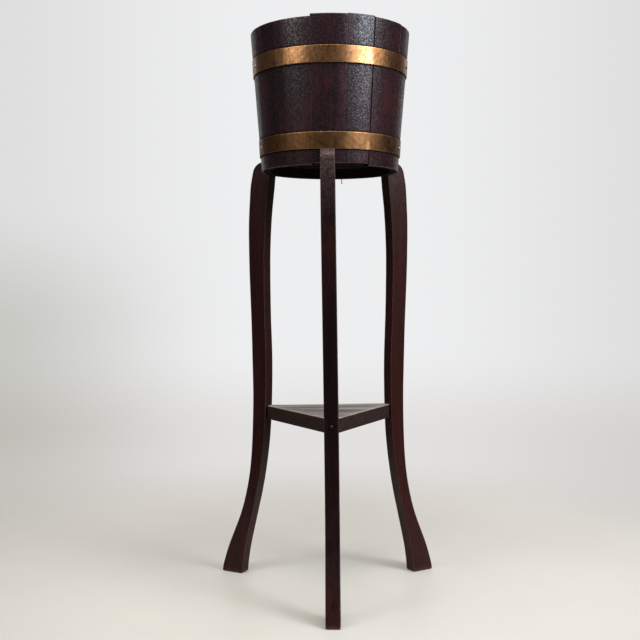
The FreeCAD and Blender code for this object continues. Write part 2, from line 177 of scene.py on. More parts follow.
def crossings(triangles, levels):
    """Where the edges of some triangles cross each level: the points, and which are real crossings."""
    start = triangles.reshape(-1, 3)
    run = triangles[:, (1, 2, 0)].reshape(-1, 3) - start
    steep = np.abs(run[:, 2]) > LEVEL_EDGE
    start, run = start[steep], run[steep]
    share = (np.asarray(levels)[:, None] - start[:, 2]) / run[:, 2]
    points = start[None, :, :2] + share[:, :, None] * run[None, :, :2]
    return points, (share >= 0) & (share <= 1)


def reach_between(triangles, levels, column):
    """Least and greatest x (column 0) or y (column 1) of some triangles at each level."""
    points, real = crossings(triangles, levels)
    least = np.where(real, points[:, :, column], np.inf).min(1)
    greatest = np.where(real, points[:, :, column], -np.inf).max(1)
    return least, greatest


# Making meshes

GRAIN_SHIFT = 3.0  # how far the grain of a piece is moved at random, so that no two pieces are alike
GRAIN_ORDERS = {"x": (1, 2, 0), "y": (0, 2, 1), "z": (0, 1, 2)}  # bring the direction of the grain to the end
WAVE_SPREAD = (0.6, 1.4)  # how many of a wave's given lengths may lie in one

# Edges sharper than these stay sharp
WOOD_CREASE, SCREW_CREASE, METAL_CREASE, SHELF_CREASE = (math.radians(angle) for angle in (40, 45, 50, 50))


def tube(name, rings):
    """Closed mesh from an array of rings by points by x, y and z. Each ring is joined to the next by
    four-sided faces, and one face closes each end. All faces are turned outwards, which is where the volume
    that they enclose counts as positive."""
    count, around = rings.shape[:2]
    ring, place = np.meshgrid(np.arange(count - 1), np.arange(around), indexing="ij")
    after = (place + 1) % around
    faces = np.stack([
        ring * around + place, ring * around + after,
        (ring + 1) * around + after, (ring + 1) * around + place], axis=-1).reshape(-1, 4)
    ends = [np.arange(around)[::-1], np.arange(around) + (count - 1) * around]
    points = rings.reshape(-1, 3)
    middle = points.mean(0)
    one, two, three, four = (points[faces[:, corner]] - middle for corner in range(4))
    first_half = np.einsum("ij,ij->i", one, np.cross(two, three))
    second_half = np.einsum("ij,ij->i", one, np.cross(three, four))
    if (first_half + second_half).sum() < 0:
        faces = faces[:, ::-1]
        ends = [end[::-1] for end in ends]
    mesh = bpy.data.meshes.new(name)
    mesh.from_pydata(points.tolist(), [], faces.tolist() + [end.tolist() for end in ends])
    return mesh


def store(mesh, key, values):
    """Stores one number, or one vector of three, for each point of a mesh, for its finish to read."""
    values = np.ascontiguousarray(values, np.float32)
    vectors = values.ndim > 1 and values.shape[-1] == 3
    layer = mesh.attributes.new(key, "FLOAT_VECTOR" if vectors else "FLOAT", "POINT")
    layer.data.foreach_set("vector" if vectors else "value", values.ravel())


def add_object(name, data):
    """A new object in the scene."""
    made = bpy.data.objects.new(name, data)
    bpy.context.scene.collection.objects.link(made)
    return made


def settle(mesh, node, crease, finish):
    """Makes a mesh the piece that stands for a node: smooth but for sharp edges and finish."""
    mesh.shade_smooth()
    mesh.set_sharp_from_angle(angle=crease)
    mesh.materials.append(finish)
    piece = add_object(node + "_finished", mesh)
    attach(piece, "root")
    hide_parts(node)
    return piece


def grain_shift(draw):
    """A random shift of the grain in its three directions."""
    return draw.uniform(-GRAIN_SHIFT, GRAIN_SHIFT, 3)


def smoothed_copy(node, crease, finish, along, share=0.0):
    """A node's own shape with its loose triangles joined, so that its rounds shade smoothly. Its grain runs
    along one of its three directions. What sits on a hoop is drawn in with it over the flats of the
    staves."""
    mesh = NODES[node].data.copy()
    mesh.name = node + "_finished"
    work = bmesh.new()
    work.from_mesh(mesh)
    bmesh.ops.remove_doubles(work, verts=work.verts, dist=JOINED)
    work.to_mesh(mesh)
    work.free()
    mesh.materials.clear()
    points = mesh_points(mesh)
    if share > 0:
        angle, radius, height = round_axis(points)
        points = off_axis(angle, radius - share * planed_depth(angle), height + AXIS[2])
        mesh.vertices.foreach_set("co", points.ravel())
    draw = np.random.default_rng(sum(map(ord, node)))
    store(mesh, "grain", points[:, GRAIN_ORDERS[along]] + grain_shift(draw))
    return settle(mesh, node, crease, finish)


def ripple(across, along, seed, waves):
    """Unevenness between minus one and one: the mean of sine waves of given lengths and seeded directions."""
    draw = np.random.default_rng(seed)
    total = 0
    for length_across, length_along in waves:
        turn_across = draw.uniform(*WAVE_SPREAD) * TURN / length_across
        turn_along = draw.uniform(*WAVE_SPREAD) * TURN / length_along * draw.choice([-1, 1])
        total = total + np.sin(across * turn_across + along * turn_along + draw.uniform(0, TURN))
    return total / len(waves)


def uneven(across, along, seed, waves):
    """The same unevenness between nothing and one."""
    return 0.5 + 0.5 * ripple(across, along, seed, waves)


def inner(start, end, steps):
    """Evenly spaced values between two others, without those."""
    return np.linspace(start, end, steps + 2)[1:-1]


def all_round(steps):
    """Evenly spaced angles all round."""
    return np.linspace(0, TURN, steps + 1)[:-1]


def arc(start, end, steps):
    """Cosines and sines of evenly spaced angles from start to end, in quarter turns."""
    turn = np.linspace(start, end, steps) * math.pi / 2
    return np.cos(turn), np.sin(turn)


def corner(out, up, radius, start, end, steps):
    """Points round a corner: outwards and upwards from its centre, from one quarter turn to another."""
    cosine, sine = arc(start, end, steps)
    return out + radius * cosine, up + radius * sine


def joined(parts):
    """An outline from parts that each hold places outwards and upwards."""
    return np.concatenate([part[0] for part in parts]), np.concatenate([part[1] for part in parts])


def soft_step(values, start, end):
    """Rises smoothly from nothing at one value to all at another."""
    share = np.clip((values - start) / (end - start), 0, 1)
    return share * share * (3 - 2 * share)


# Staves

# How many points lie along each part of a stave's outline, and across its width
FACE_STEPS, INSIDE_STEPS, FOOT_STEPS, FLAT_STEPS, ROUND_STEPS = 100, 40, 6, 4, 7
ACROSS_STEPS = 44

ARRIS_SHARES = np.array([0, 0.12, 0.3, 0.6, 1.0])  # places across the rounding of a joint
PLANE_WAVES = ((0.045, 0.30), (0.021, 0.19), (0.012, 0.11), (0.008, 0.06))  # lengths across and along
PLANE_SEED = 40
NICKS = 6
NICK_SEED = 70
NICK_REACH = (0.8, 2.6)  # in millimetres
NICK_DEPTH = (0.1, 1)  # shares of the depth that is set
NICK_ZONE = 2.5 * MM  # how far down from the rim a nick reaches
GRAIN_LEAN = 0.02  # the most that the grain of a stave runs sideways, as a share of its height
JOINT_FALL, JOINT_START = 5, 0.8 * MM  # how much faster rubbing fades at a joint, and how far in it starts
STAVE_TONE = (0, 0.15)  # how much darker one stave may be
OPEN_JOINT, OPEN_HALF = math.radians(31), math.radians(2)  # the joint that stands open, and how far it counts
JOINT_DIRT = (0.1, 0.45)  # how dirty the other joints are
# how much darker the undersides of the staves are made
UNDERSIDE_DARKENING = 0.8
HOOP_SHADOW_REACH = 1.6 * MM  # how far the painted shadow runs out from a hoop's edge

# Where the red ground shows: angle in degrees, height, half width in degrees, half height, strength
RED_SPOTS = (
    (49, 0.845, 7, 0.030, 0.75),
    (-2, 0.862, 4, 0.014, 0.45),
    (-55, 0.862, 6, 0.02, 0.35),
    (38, 0.925, 5, 0.02, 0.3),
    (60, 0.935, 5, 0.015, 0.4),
    (72, 0.75, 20, 0.012, 0.5),
    (140, 0.88, 9, 0.03, 0.5),
    (-125, 0.83, 8, 0.03, 0.5),
)


def stave_profile(low, high, play):
    """Closed outline of a stave's length, as depths behind its outer face and as heights: up the outer face,
    over the rounded top, down the inner face, into the groove for the bottom and out, and under the rounded
    foot."""
    thick, bevel = WALL["thickness"], WALL["bevel"]
    tip, tongue_low, tongue_high = measure_tongue()
    groove = wall_radius(tongue_high) - tip - play
    flat = inner(bevel, thick - bevel, FLAT_STEPS)
    depth, height = joined([
        (np.zeros(FACE_STEPS), np.linspace(low + bevel, high - bevel, FACE_STEPS)),
        corner(bevel, high - bevel, bevel, 2, 1, ROUND_STEPS),
        (flat, np.full(FLAT_STEPS, high)),
        corner(thick - bevel, high - bevel, bevel, 1, 0, ROUND_STEPS),
        (np.full(INSIDE_STEPS, thick), np.linspace(high - bevel, tongue_high + play, INSIDE_STEPS + 1)[1:]),
        (np.full(2, groove), np.array([tongue_high + play, tongue_low - play])),
        (np.full(FOOT_STEPS, thick), np.linspace(tongue_low - play, low + bevel, FOOT_STEPS + 1)[:-1]),
        corner(thick - bevel, low + bevel, bevel, 0, -1, ROUND_STEPS),
        (flat[::-1], np.full(FLAT_STEPS, low)),
        corner(bevel, low + bevel, bevel, -1, -2, ROUND_STEPS)])
    return depth[:-1], height[:-1]


def hoop_edge_shadow(height):
    """Painted shadow along the edges of the hoops: most at an edge, less with the distance outside it."""
    total = np.zeros_like(height)
    for name in HOOPS:
        level = points_of(name)[:, 2]
        outside = np.maximum(level.min() - height, height - level.max())
        total = np.maximum(total, np.exp(-np.clip(outside, 0, None) / HOOP_SHADOW_REACH))
    return total


def red_spots(angle, height):
    """Where the red ground shows: round spots of the tub, each fading out from its middle."""
    total = 0
    for degrees, level, wide, tall, strength in RED_SPOTS:
        turn = math.radians(degrees)
        off = ((nearest(angle, turn) - turn) / math.radians(wide)) ** 2 + ((height - level) / tall) ** 2
        total = total + strength * np.exp(-off)
    return total


def nicks(place, width, depth, draw):
    """Depth of the nicks across the top of a stave: the sum of a few bells at random places."""
    total = np.zeros_like(place)
    for _ in range(NICKS):
        middle = draw.uniform(0, width)
        reach = draw.uniform(*NICK_REACH) * MM
        deep = draw.uniform(*NICK_DEPTH)
        total = total + depth * deep * np.exp(-((place - middle) / reach) ** 2)
    return total


def make_stave(index, name, settings, finish):
    """One stave: its outline carried round the tub from joint to joint. The outer face is planed a share of
    the way from the circle to the chord, rippled a little, rounded off along both joints, and nicked along
    the rim. Rubbing, dirt, the painted shadow beside the hoops and the painted highlight along the foot
    fade with the distance from an edge."""
    start, end, low, high = SPANS[name]
    depth, height = stave_profile(low, high, settings.groove_play)
    width = (end - start) * WALL["radius"]
    arris = settings.arris
    edge = arris * ARRIS_SHARES
    between = inner(arris, width - arris, ACROSS_STEPS)
    place = np.concatenate([edge, between, width - edge[::-1]])[:, None]
    side = np.minimum(place, width - place)
    angle = start + place / WALL["radius"]
    front = np.clip(1 - depth / WALL["thickness"], 0, 1)
    skin = np.clip(1 - depth / WALL["bevel"], 0, 1)
    rounded = arris - np.sqrt(arris ** 2 - np.clip(arris - side, 0, None) ** 2)
    rough = uneven(place, height, PLANE_SEED + index, PLANE_WAVES)
    draw = np.random.default_rng(NICK_SEED + index)
    drop = nicks(place, width, settings.nick, draw)
    rim = np.clip(1 - (high - height) / NICK_ZONE, 0, 1) * skin
    inwards = settings.planed_share * planed_depth(angle) * front + (rounded + settings.ripple * rough) * skin
    radius = wall_radius(height) - depth - inwards - drop * rim
    mesh = tube(name + "_finished", off_axis(angle, radius, height - drop * rim / 2))
    lean = draw.uniform(-GRAIN_LEAN, GRAIN_LEAN)
    across, deep, tall = np.broadcast_arrays(place + lean * height, depth, height)
    store(mesh, "grain", np.stack([across, deep, tall], axis=-1) + grain_shift(draw))
    from_end = np.minimum(high - height, height - low) + depth
    from_joint = side * JOINT_FALL + depth + JOINT_START
    worn = np.exp(-np.minimum(from_end, from_joint) / settings.wear_reach)
    beyond = depth - WALL["bevel"]
    # the stave's lower edge is lightened as a painted highlight, beyond what rubbing gives
    foot = np.exp(-(height - low) / settings.foot_reach) * np.clip(1 - beyond / settings.foot_reach, 0, 1)
    store(mesh, "wear_and_highlight", np.maximum(worn, foot * settings.foot_rub_and_highlight))
    store(mesh, "tone", np.full(across.shape, draw.uniform(*STAVE_TONE)))
    store(mesh, "bare", np.broadcast_to(np.clip(depth / WALL["bevel"], 0, 1), across.shape))
    opened = np.abs(nearest(angle, OPEN_JOINT) - OPEN_JOINT) < OPEN_HALF
    dirt = np.exp(-side / settings.joint_reach) * np.where(opened, 1.0, draw.uniform(*JOINT_DIRT))
    # the staves' undersides beyond the bevel are made darker
    under = (height < low + SAME) * np.clip(beyond / settings.foot_reach, 0, 1)
    # dirt in the joints, painted shadow beside the hoops, and darker undersides
    store(mesh, "dirt_and_painted_shade", np.maximum(np.maximum(dirt, hoop_edge_shadow(tall) * skin), UNDERSIDE_DARKENING * under))
    store(mesh, "red", red_spots(np.broadcast_to(angle, across.shape), tall))
    return settle(mesh, name, WOOD_CREASE, finish)


# Hoops

# How many points lie along each part of the strip's outline, and how many outlines round the tub
STRIP_STEPS, STRIP_BACK_STEPS, STRIP_ROUND_STEPS = 24, 8, 5
HOOP_STEPS, JOGGLE_STEPS, LAP_STEPS = 420, 13, 39

LIFTED = 1.5  # thicknesses above the inside, over which the strip lies on its own end
DENT_WAVES = ((0.05, 0.08), (0.02, 0.03), (0.011, 0.016))
DENT_SEED = 11
STREAK_HALF = math.radians(1.1)  # half the width of the rubbed streak, partly a painted copper highlight, where a hoop crosses the open joint
STREAK_TOP, STREAK_FALL = 1.3, 2  # the streak's strength at the hoop's lower edge, and its loss upwards
STREAK_SHARE = 1.4  # how much of the tarnish the streak takes away to paint a copper highlight
BEND_NEAR, BEND_FAR = math.radians(2.5), math.radians(12)  # how soon a hoop's bend there starts and ends


def measure_hoop(name):
    """A hoop's edges, inside radii at them, thickness, lift of its lap and angles between which it laps."""
    angle, radius, height = round_axis(points_of(name))
    low, high = height.min(), height.max()
    inside_low = radius[height < low + SAME].min()
    inside_high = radius[height > high - SAME].min()
    above_inside = radius - inside_low - (inside_high - inside_low) * (height - low) / (high - low)
    lap = middle_angle(name + "_rivets")
    off = nearest(angle, lap) - lap
    beside = np.abs(off) < math.pi / 2
    thickness = above_inside[~beside].max()
    raised = off[(above_inside > LIFTED * thickness) & beside]
    return {
        "low": low,
        "high": high,
        "inside_low": inside_low,
        "inside_high": inside_high,
        "thickness": thickness,
        "lift": above_inside.max() - thickness,
        "start": lap + raised.min(),
        "end": lap + raised.max(),
    }


def strip_section(width, thick, radius):
    """Closed outline of the strip, as distances outwards and upwards: up its outer face and down its inner
    one, round four rounded corners."""
    top, outer = width - radius, thick - radius
    first = corner(outer, top, radius, 0, 1, STRIP_ROUND_STEPS)
    out, up = joined([
        (np.full(STRIP_STEPS, thick), np.linspace(radius, top, STRIP_STEPS)),
        (first[0][1:], first[1][1:]),
        corner(radius, top, radius, 1, 2, STRIP_ROUND_STEPS),
        (np.zeros(STRIP_BACK_STEPS), inner(top, radius, STRIP_BACK_STEPS)),
        corner(radius, radius, radius, 2, 3, STRIP_ROUND_STEPS),
        corner(outer, radius, radius, 3, 4, STRIP_ROUND_STEPS)])
    return out[:-1], up[:-1]


def make_hoop(index, name, settings, finish):
    """A brass strip: its section carried once round the tub from its inner end, out over a smooth step, and
    on along the lap. It is drawn in a little over the flats of the staves, dented, and bent over the open
    joint, where a rubbed streak in the lower hoop's tarnish also paints a copper highlight."""
    size = measure_hoop(name)
    width = size["high"] - size["low"]
    out, up = strip_section(width, size["thickness"], settings.corner)
    radius = (size["inside_low"] + size["inside_high"]) / 2
    step = settings.step_length / radius
    again = size["start"] + TURN
    path = np.concatenate([
        np.linspace(size["start"] + step, again - step, HOOP_STEPS),
        np.linspace(again - step, again, JOGGLE_STEPS + 1)[1:],
        np.linspace(again, size["end"] + TURN, LAP_STEPS + 1)[1:]])[:, None]
    lift = size["lift"] * soft_step((path - again + step) / step, 0, 1)
    inside = size["inside_low"] + (size["inside_high"] - size["inside_low"]) * up / width
    along = path * radius
    dent = 1 - uneven(along, up, DENT_SEED + index, DENT_WAVES)
    off = nearest(path, OPEN_JOINT) - OPEN_JOINT
    bend = settings.bend * (1 - np.exp(-np.abs(off) / BEND_NEAR)) * np.exp(-(off / BEND_FAR) ** 2)
    drawn = settings.planed_share * planed_depth(path) + settings.dent * dent + bend * out / size["thickness"]
    mesh = tube(name + "_finished", off_axis(path, inside + out + lift - drawn, size["low"] + up))
    along, out, tall = np.broadcast_arrays(along, out, up)
    store(mesh, "grain", np.stack([along, out, tall], axis=-1) + index)
    # both edges of the strip are rubbed, and lightened enough to paint a highlight line
    store(mesh, "wear_and_highlight", np.exp(-np.minimum(tall, width - tall) / settings.wear_reach))
    tarnish = settings.lower_tarnish if name == "hoop_lower" else 0.0
    # rubbed streak over the open joint, partly a painted copper highlight
    streak = np.exp(-(off / STREAK_HALF) ** 2) * np.clip(STREAK_TOP - STREAK_FALL * tall / width, 0, 1)
    store(mesh, "tone", tarnish * (1 - STREAK_SHARE * streak))
    return settle(mesh, name, METAL_CREASE, finish)


def tarnish_right(mesh):
    """Tarnishes what lies to the right of the tub's axis."""
    store(mesh, "tone", (mesh_points(mesh)[:, 0] > AXIS[0]).astype(float))


# Legs

# How much darker a leg is made around mid-height, how much of the red ground shows, and how scuffed the top
# is; the scuffs also paint a highlight on the shoulder
LEG_LOOKS = {"leg_front": (0.75, 0.08, 0.85), "leg_left": (0.25, 0.42, 0.3), "leg_right": (0.0, 0.5, 0.6)}
DARK_HEIGHT, DARK_REACH = 0.36, 0.24  # where a leg is made darkest, and how far it is so
AIMS = 3  # times that a leg's direction is corrected
BELOW_SEAT, ABOVE_SOLE = 2 * MM, 3 * MM  # levels at which a leg's middle is measured
LEG_STEPS, SHOULDER_STEPS = 260, 18  # levels up to the shoulder, and round it
LEG_ROUND_STEPS, LEG_FLAT_STEPS = 6, 9  # points round each corner of a leg, and along each side
MOST_ROUNDED = 0.8  # of half a leg's depth
SCRAPE_WAVES = ((0.09, 0.25), (0.05, 0.12), (0.03, 0.05))
SCRAPE_SEED, LEG_SEED = 60, 20
SOLE_WEAR = 5 * MM  # how far up from the floor a leg is rubbed


def lean_over(points, lean):
    """Points turned about the way out from the tub, at the height of the tub's foot."""
    side, above = points[..., 1], points[..., 2] - WALL["height"]
    return np.stack([
        points[..., 0],
        side * math.cos(lean) - above * math.sin(lean),
        WALL["height"] + side * math.sin(lean) + above * math.cos(lean)], axis=-1)


def measure_leg(name):
    """The turn from a leg's own directions (out, sideways, up) to the stand's, its lean, its triangles in its
    own upright directions, and its angle."""
    angle = middle_angle(name)
    triangles = triangles_of(name) - AXIS
    for _ in range(AIMS):
        out, side = (math.sin(angle), -math.cos(angle), 0), (math.cos(angle), math.sin(angle), 0)
        turn = np.array([out, side, (0, 0, 1)])
        local = triangles @ turn.T
        sides = np.array(reach_between(local, [WALL["height"] - BELOW_SEAT], 1)).mean()
        angle += sides / WALL["radius"]
    foot_low, foot_high = reach_between(local, [ABOVE_SOLE], 1)
    lean = math.asin((foot_low[0] + foot_high[0]) / 2 / (WALL["height"] - ABOVE_SOLE))
    return turn, lean, lean_over(local, -lean), nearest(angle, 0)


def rounded_section(corner_steps, side_steps):
    """Points round a rectangle with rounded corners. Each has a place between the corners' centres, outwards
    and sideways, and a direction from there to the surface, outwards and sideways."""
    parts = []
    corners = ((1, -1), (1, 1), (-1, 1), (-1, -1))
    for index, (out, side) in enumerate(corners):
        cosine, sine = arc(index - 1, index, corner_steps)
        parts.append(np.stack([np.full(corner_steps, out), np.full(corner_steps, side), cosine, sine]))
        next_out, next_side = corners[(index + 1) % len(corners)]
        run = inner(0, 1, side_steps)
        parts.append(np.stack([
            out + (next_out - out) * run,
            side + (next_side - side) * run,
            np.full(side_steps, cosine[-1]),
            np.full(side_steps, sine[-1])]))
    return np.concatenate(parts, axis=1)


def make_leg(index, name, settings, finish):
    """A leg: a rounded rectangle carried up from the sole. Its reach in and out is measured level by level.
    Above the ledge that the staves stand on, its back is hollowed to the round of the tub."""
    turn, lean, local, angle = measure_leg(name)
    top = local[..., 2].max()
    seat = next(low for start, end, low, _ in SPANS.values()
                if start <= nearest(angle, (start + end) / 2) <= end)
    half = (local[..., 1].max() - local[..., 1].min()) / 2
    bevel, shoulder, radius = settings.sole_bevel, settings.shoulder_radius, settings.round
    _, sine = arc(0, 1, SHOULDER_STEPS)
    levels = np.unique(np.concatenate([
        [0, bevel / 2],
        np.linspace(bevel, top - shoulder, LEG_STEPS),
        top - shoulder + shoulder * sine,
        [seat - SAME, seat + SAME]]))
    least, greatest = reach_between(local, np.clip(levels, bevel + SAME, top - SAME), 0)
    under = levels < seat
    inset = np.clip(bevel - levels, 0, None)
    back = np.where(under, least + inset, WALL["radius"] - settings.seat_overlap)
    front = greatest - inset
    above = np.clip(levels - (top - radius), 0, radius)
    crown = radius - np.sqrt(radius ** 2 - above ** 2)
    half_deep = ((front - back) / 2)[:, None]
    middle = ((front + back) / 2)[:, None]
    half_wide = (half - inset - crown)[:, None]
    place_out, place_side, way_out, way_side = rounded_section(LEG_ROUND_STEPS, LEG_FLAT_STEPS)
    eased = np.minimum(radius, half_deep * MOST_ROUNDED)
    out = middle + place_out * (half_deep - eased) + way_out * eased
    side = place_side * (half_wide - eased) + way_side * eased
    tall = np.broadcast_to(levels[:, None], out.shape)
    out = out - settings.ripple * uneven(side, tall, SCRAPE_SEED + index, SCRAPE_WAVES) * way_out
    placed = lean_over(np.stack([out, side, tall], axis=-1), lean)
    contact = np.sqrt((wall_radius(placed[..., 2]) + settings.glue_line) ** 2 - placed[..., 1] ** 2)
    placed[..., 0] = np.where(under[:, None], placed[..., 0], np.maximum(placed[..., 0], contact))
    placed[0, :, 2] = 0
    mesh = tube(name + "_finished", placed @ turn + AXIS)
    draw = np.random.default_rng(LEG_SEED + index)
    store(mesh, "grain", np.stack([side, out, tall], axis=-1) + grain_shift(draw))
    edge = np.broadcast_to(np.abs(2 * way_out * way_side), out.shape)
    stain, red, scuffed = LEG_LOOKS[name]
    # the scuffed top is lightened: scuffs, and a painted highlight where the shoulder turns to the light
    # above
    worn = np.maximum(np.exp(-tall / SOLE_WEAR), scuffed * np.exp(-(top - tall) / settings.scuff_reach))
    store(mesh, "wear_and_highlight", np.maximum(edge, worn))
    # each leg is made darker around mid-height
    store(mesh, "tone", stain * np.exp(-((tall - DARK_HEIGHT) / DARK_REACH) ** 2))
    store(mesh, "red", np.full(out.shape, red))
    return settle(mesh, name, WOOD_CREASE, finish)


# Shelf

SHELF_ANGLES, SHELF_ROUND_STEPS = 720, 6  # points all round the shelf, and levels round each edge

# Rings over the shelf's faces, as shares of the way from its middle to its edge
SHELF_SHARES = np.concatenate([[0.03], np.linspace(0.15, 0.9, 10), [0.94, 0.97, 0.985]])

SHELF_WAVES = ((0.25, 0.05), (0.12, 0.03), (0.09, 0.018))
SHELF_SEED = 5
SHELF_GRAIN = 1.7  # where the shelf's grain is taken from
HOLLOW_REACH = 30 * MM  # distance from the edge over which the hollow of the shelf's top deepens
FACING = 1e-6  # a side that faces an angle by less than this is not looked at


def outline_round(triangles, level, angles):
    """Distance from the tub's axis to the outline of some triangles at a level, at each angle: of the lines
    through the sides of its hull, the nearest one that the angle looks towards."""
    points, real = crossings(triangles, [level])
    points = points[real]
    hull = points[geometry.convex_hull_2d([Vector(point) for point in points])]
    run = np.roll(hull, -1, axis=0) - hull
    length = np.hypot(run[:, 0], run[:, 1])
    run, start, length = run[length > SAME], hull[length > SAME], length[length > SAME]
    normal = np.stack([run[:, 1], -run[:, 0]], axis=-1) / length[:, None]
    distance = np.einsum("ij,ij->i", normal, start)
    normal = normal * np.sign(distance)[:, None]
    distance = np.abs(distance)
    way = np.stack([np.cos(angles), np.sin(angles)], axis=-1)
    facing = way @ normal.T
    return np.where(facing > FACING, distance / np.where(facing > FACING, facing, 1), np.inf).min(1)


def make_shelf(settings, finish):
    """The shelf: its outline carried up from the middle of its underside, out, round the eased edges and back
    in over the top to the middle. Its top has sunk a little all over but for its edge."""
    triangles = triangles_of("shelf") - AXIS
    normals = np.cross(triangles[:, 1] - triangles[:, 0], triangles[:, 2] - triangles[:, 0])
    flat = normals[np.argmax(np.linalg.norm(normals, axis=1))]
    tilt = -flat[0] / flat[2]
    level = triangles.copy()
    level[..., 2] -= tilt * level[..., 0]
    low, high = level[..., 2].min(), level[..., 2].max()
    eased = settings.round
    middle = (low + high) / 2
    angles = all_round(SHELF_ANGLES)
    _, sine = arc(0, 1, SHELF_ROUND_STEPS)
    heights = np.concatenate([low + eased - eased * sine[::-1], [middle], high - eased + eased * sine])
    just_inside = np.clip(heights, low + SAME, high - SAME)
    outlines = np.array([outline_round(level, height, angles) for height in just_inside])
    rings = [(share * outlines[0], low) for share in SHELF_SHARES]
    rings += list(zip(outlines, heights))
    rings += [(share * outlines[-1], high) for share in SHELF_SHARES[::-1]]
    reach = np.array([ring[0] for ring in rings])
    tall = np.array([ring[1] for ring in rings])[:, None] + 0 * reach
    x, y = reach * np.cos(angles), reach * np.sin(angles)
    from_edge = outlines.max(0) - reach
    rough = settings.ripple * uneven(x, y, SHELF_SEED, SHELF_WAVES) * (tall > middle)
    hollow = settings.hollow * np.clip(from_edge / HOLLOW_REACH, 0, 1) * (tall > high - SAME)
    rings = np.stack([x, y, tall - (rough + hollow) + tilt * x], axis=-1) + AXIS
    mesh = tube("shelf_finished", rings)
    store(mesh, "grain", np.stack([y, tall, x], axis=-1) + SHELF_GRAIN)
    store(mesh, "side", np.clip((high - tall) / eased, 0, 1))
    store(mesh, "wear_and_highlight", np.exp(-from_edge / settings.rub_reach))
    return settle(mesh, "shelf", SHELF_CREASE, finish)


# Finishes

# A noise is given by its stretch along the grain, scale, detail, roughness and distortion. A span is given by
# where it starts and ends, and by what it becomes there. A relief is given by its strength and its depth. A
# shade is how much lighter or darker a colour is made.

OAK_NOISE = {
    "bands": (0.05, 95.0, 6.0, 0.6, 0.4),
    "pores": (0.035, 1100.0, 3.0, 0.7, 0.0),
    "patches": (0.35, 24.0, 5.0, 0.6, 0.0),
    "speckle": (1.0, 1500.0, 3.0, 0.7, 0.0),
    "lumps": (1.0, 480.0, 3.0, 0.6, 0.0),
}
OAK_SPANS = {
    "bands": (0.36, 0.66, 0.0, 1.0),
    "red ground": (0.5, 0.74, 0.0, 0.8),
    "pores": (0.52, 0.68, 0.0, 0.75),
    "broken edge": (0.3, 0.7, 0.0, 1.0),
    "rubbed": (0.1, 0.8, 0.0, 0.85),
    # the lightest rubbing, and the painted highlight along the staves' foot
    "rubbed bright": (0.8, 1.4, 0.0, 1.0),
    "rough lumps": (0.35, 0.65, -0.06, 0.1),
    "rough patches": (0.3, 0.7, -0.02, 0.04),
    "rough pores": (0.5, 0.7, 0.0, 0.12),
    "rough where bare": (0.0, 1.0, 0.0, 0.5),
    "flecks": (0.46, 0.6, 0.1, 1.0),
    "coat gone": (0.0, 0.5, 1.0, 0.0),
}
# dirty darkens the joints and the staves' undersides, and paints the shade beside the hoops
OAK_SHADES = {"pores": 0.4, "old": 0.6, "bright": 3.0, "dirty": 0.12}
OAK_RELIEFS = ((0.4, 0.0002), (0.5, 0.00012), (0.55, 0.0003))
COAT_RELIEFS = ((0.3, 0.0001), (0.55, 0.0003))
COAT_ROUGHNESS, COAT_IOR = 0.27, 1.65

SHELF_NOISE = {
    "streaks": (0.07, 48.0, 6.0, 0.62, 0.25),
    "lines": (0.05, 190.0, 4.0, 0.65, 0.0),
    "pores": (0.04, 1000.0, 3.0, 0.7, 0.0),
}
SHELF_SPANS = {
    "streaks": (0.38, 0.6, 0.0, 1.0),
    "lines": (0.5, 0.62, 0.0, 0.75),
    "rubbed": (0.0, 1.0, 0.0, 0.6),
    "stain": (0.35, 0.68, 0.0, 1.0),
    "pores": (0.55, 0.68, 0.0, 0.6),
    "rough": (0.35, 0.65, 0.08, -0.08),
}
SHELF_SHADES = {"lines": 0.8, "rubbed": 1.15, "dark stain": 0.6, "light stain": 1.3, "pores": 0.6}
SHELF_RELIEFS = ((0.35, 0.0002), (0.4, 0.0003))
SHELF_ROUGHNESS, SHELF_SHINE = 0.62, 0.12

BOARD_NOISE = {
    "bands": (0.06, 130.0, 6.0, 0.65, 0.3),
    "pores": (0.04, 1000.0, 3.0, 0.7, 0.0),
    "scratches": (0.05, 420.0, 1.0, 0.4, 1.2),
}
BOARD_SPANS = {
    "bands": (0.35, 0.68, 0.0, 1.0),
    "scratches": (0.64, 0.72, 0.0, 0.7),
    "pores": (0.56, 0.68, 0.0, 0.6),
    "rough": (0.3, 0.7, 0.8, 0.95),
}
BOARD_SHADES = {"scratches": 14.0, "pores": 0.6}
BOARD_RELIEFS = ((0.35, 0.0002), (0.2, 0.0003))
BOARD_IOR = 1.08

DOWEL_STRETCH, DOWEL_NOISE = (0.08, 1.0, 1.0), (900.0, 4.0, 0.6)
DOWEL_SPANS = {"grain": (0.35, 0.68, 0.0, 1.0), "rough": (0.3, 0.7, 0.55, 0.75)}
DOWEL_SHADE = 0.5
DOWEL_RELIEFS = ((0.3, 0.0001),)

BRASS_NOISE = {
    "haze": (1.0, 55.0, 5.0, 0.62, 0.6),
    "drips": (0.3, 230.0, 4.0, 0.6, 0.0),
    "specks": (1.0, 1200.0, 3.0, 0.7, 0.0),
    "pits": (1.0, 450.0, 2.0, 0.5, 0.0),
}
BRASS_SPANS = {
    "haze": (0.36, 0.66, 0.0, 1.0),
    "drips": (0.46, 0.7, 0.0, 0.62),
    "specks": (0.6, 0.78, 0.0, 0.5),
    "rubbed": (0.3, 1.0, 0.0, 1.0),
    "rough haze": (0.34, 0.66, -0.06, 0.14),
    "rough specks": (0.35, 0.7, -0.04, 0.1),
    "rough tarnish": (0.0, 1.0, 0.0, 0.12),
}
BRASS_SHADES = {"specks": 0.6, "rubbed": 1.2}
BRASS_RELIEFS = ((0.4, 0.0002), (0.25, 0.00006))
# how strongly the hoops' edges are lightened: rubbing and a painted highlight line
HOOP_RUB_AND_HIGHLIGHT, PIN_RUBBED, PIN_TARNISH = 0.7, 0.0, 0.1

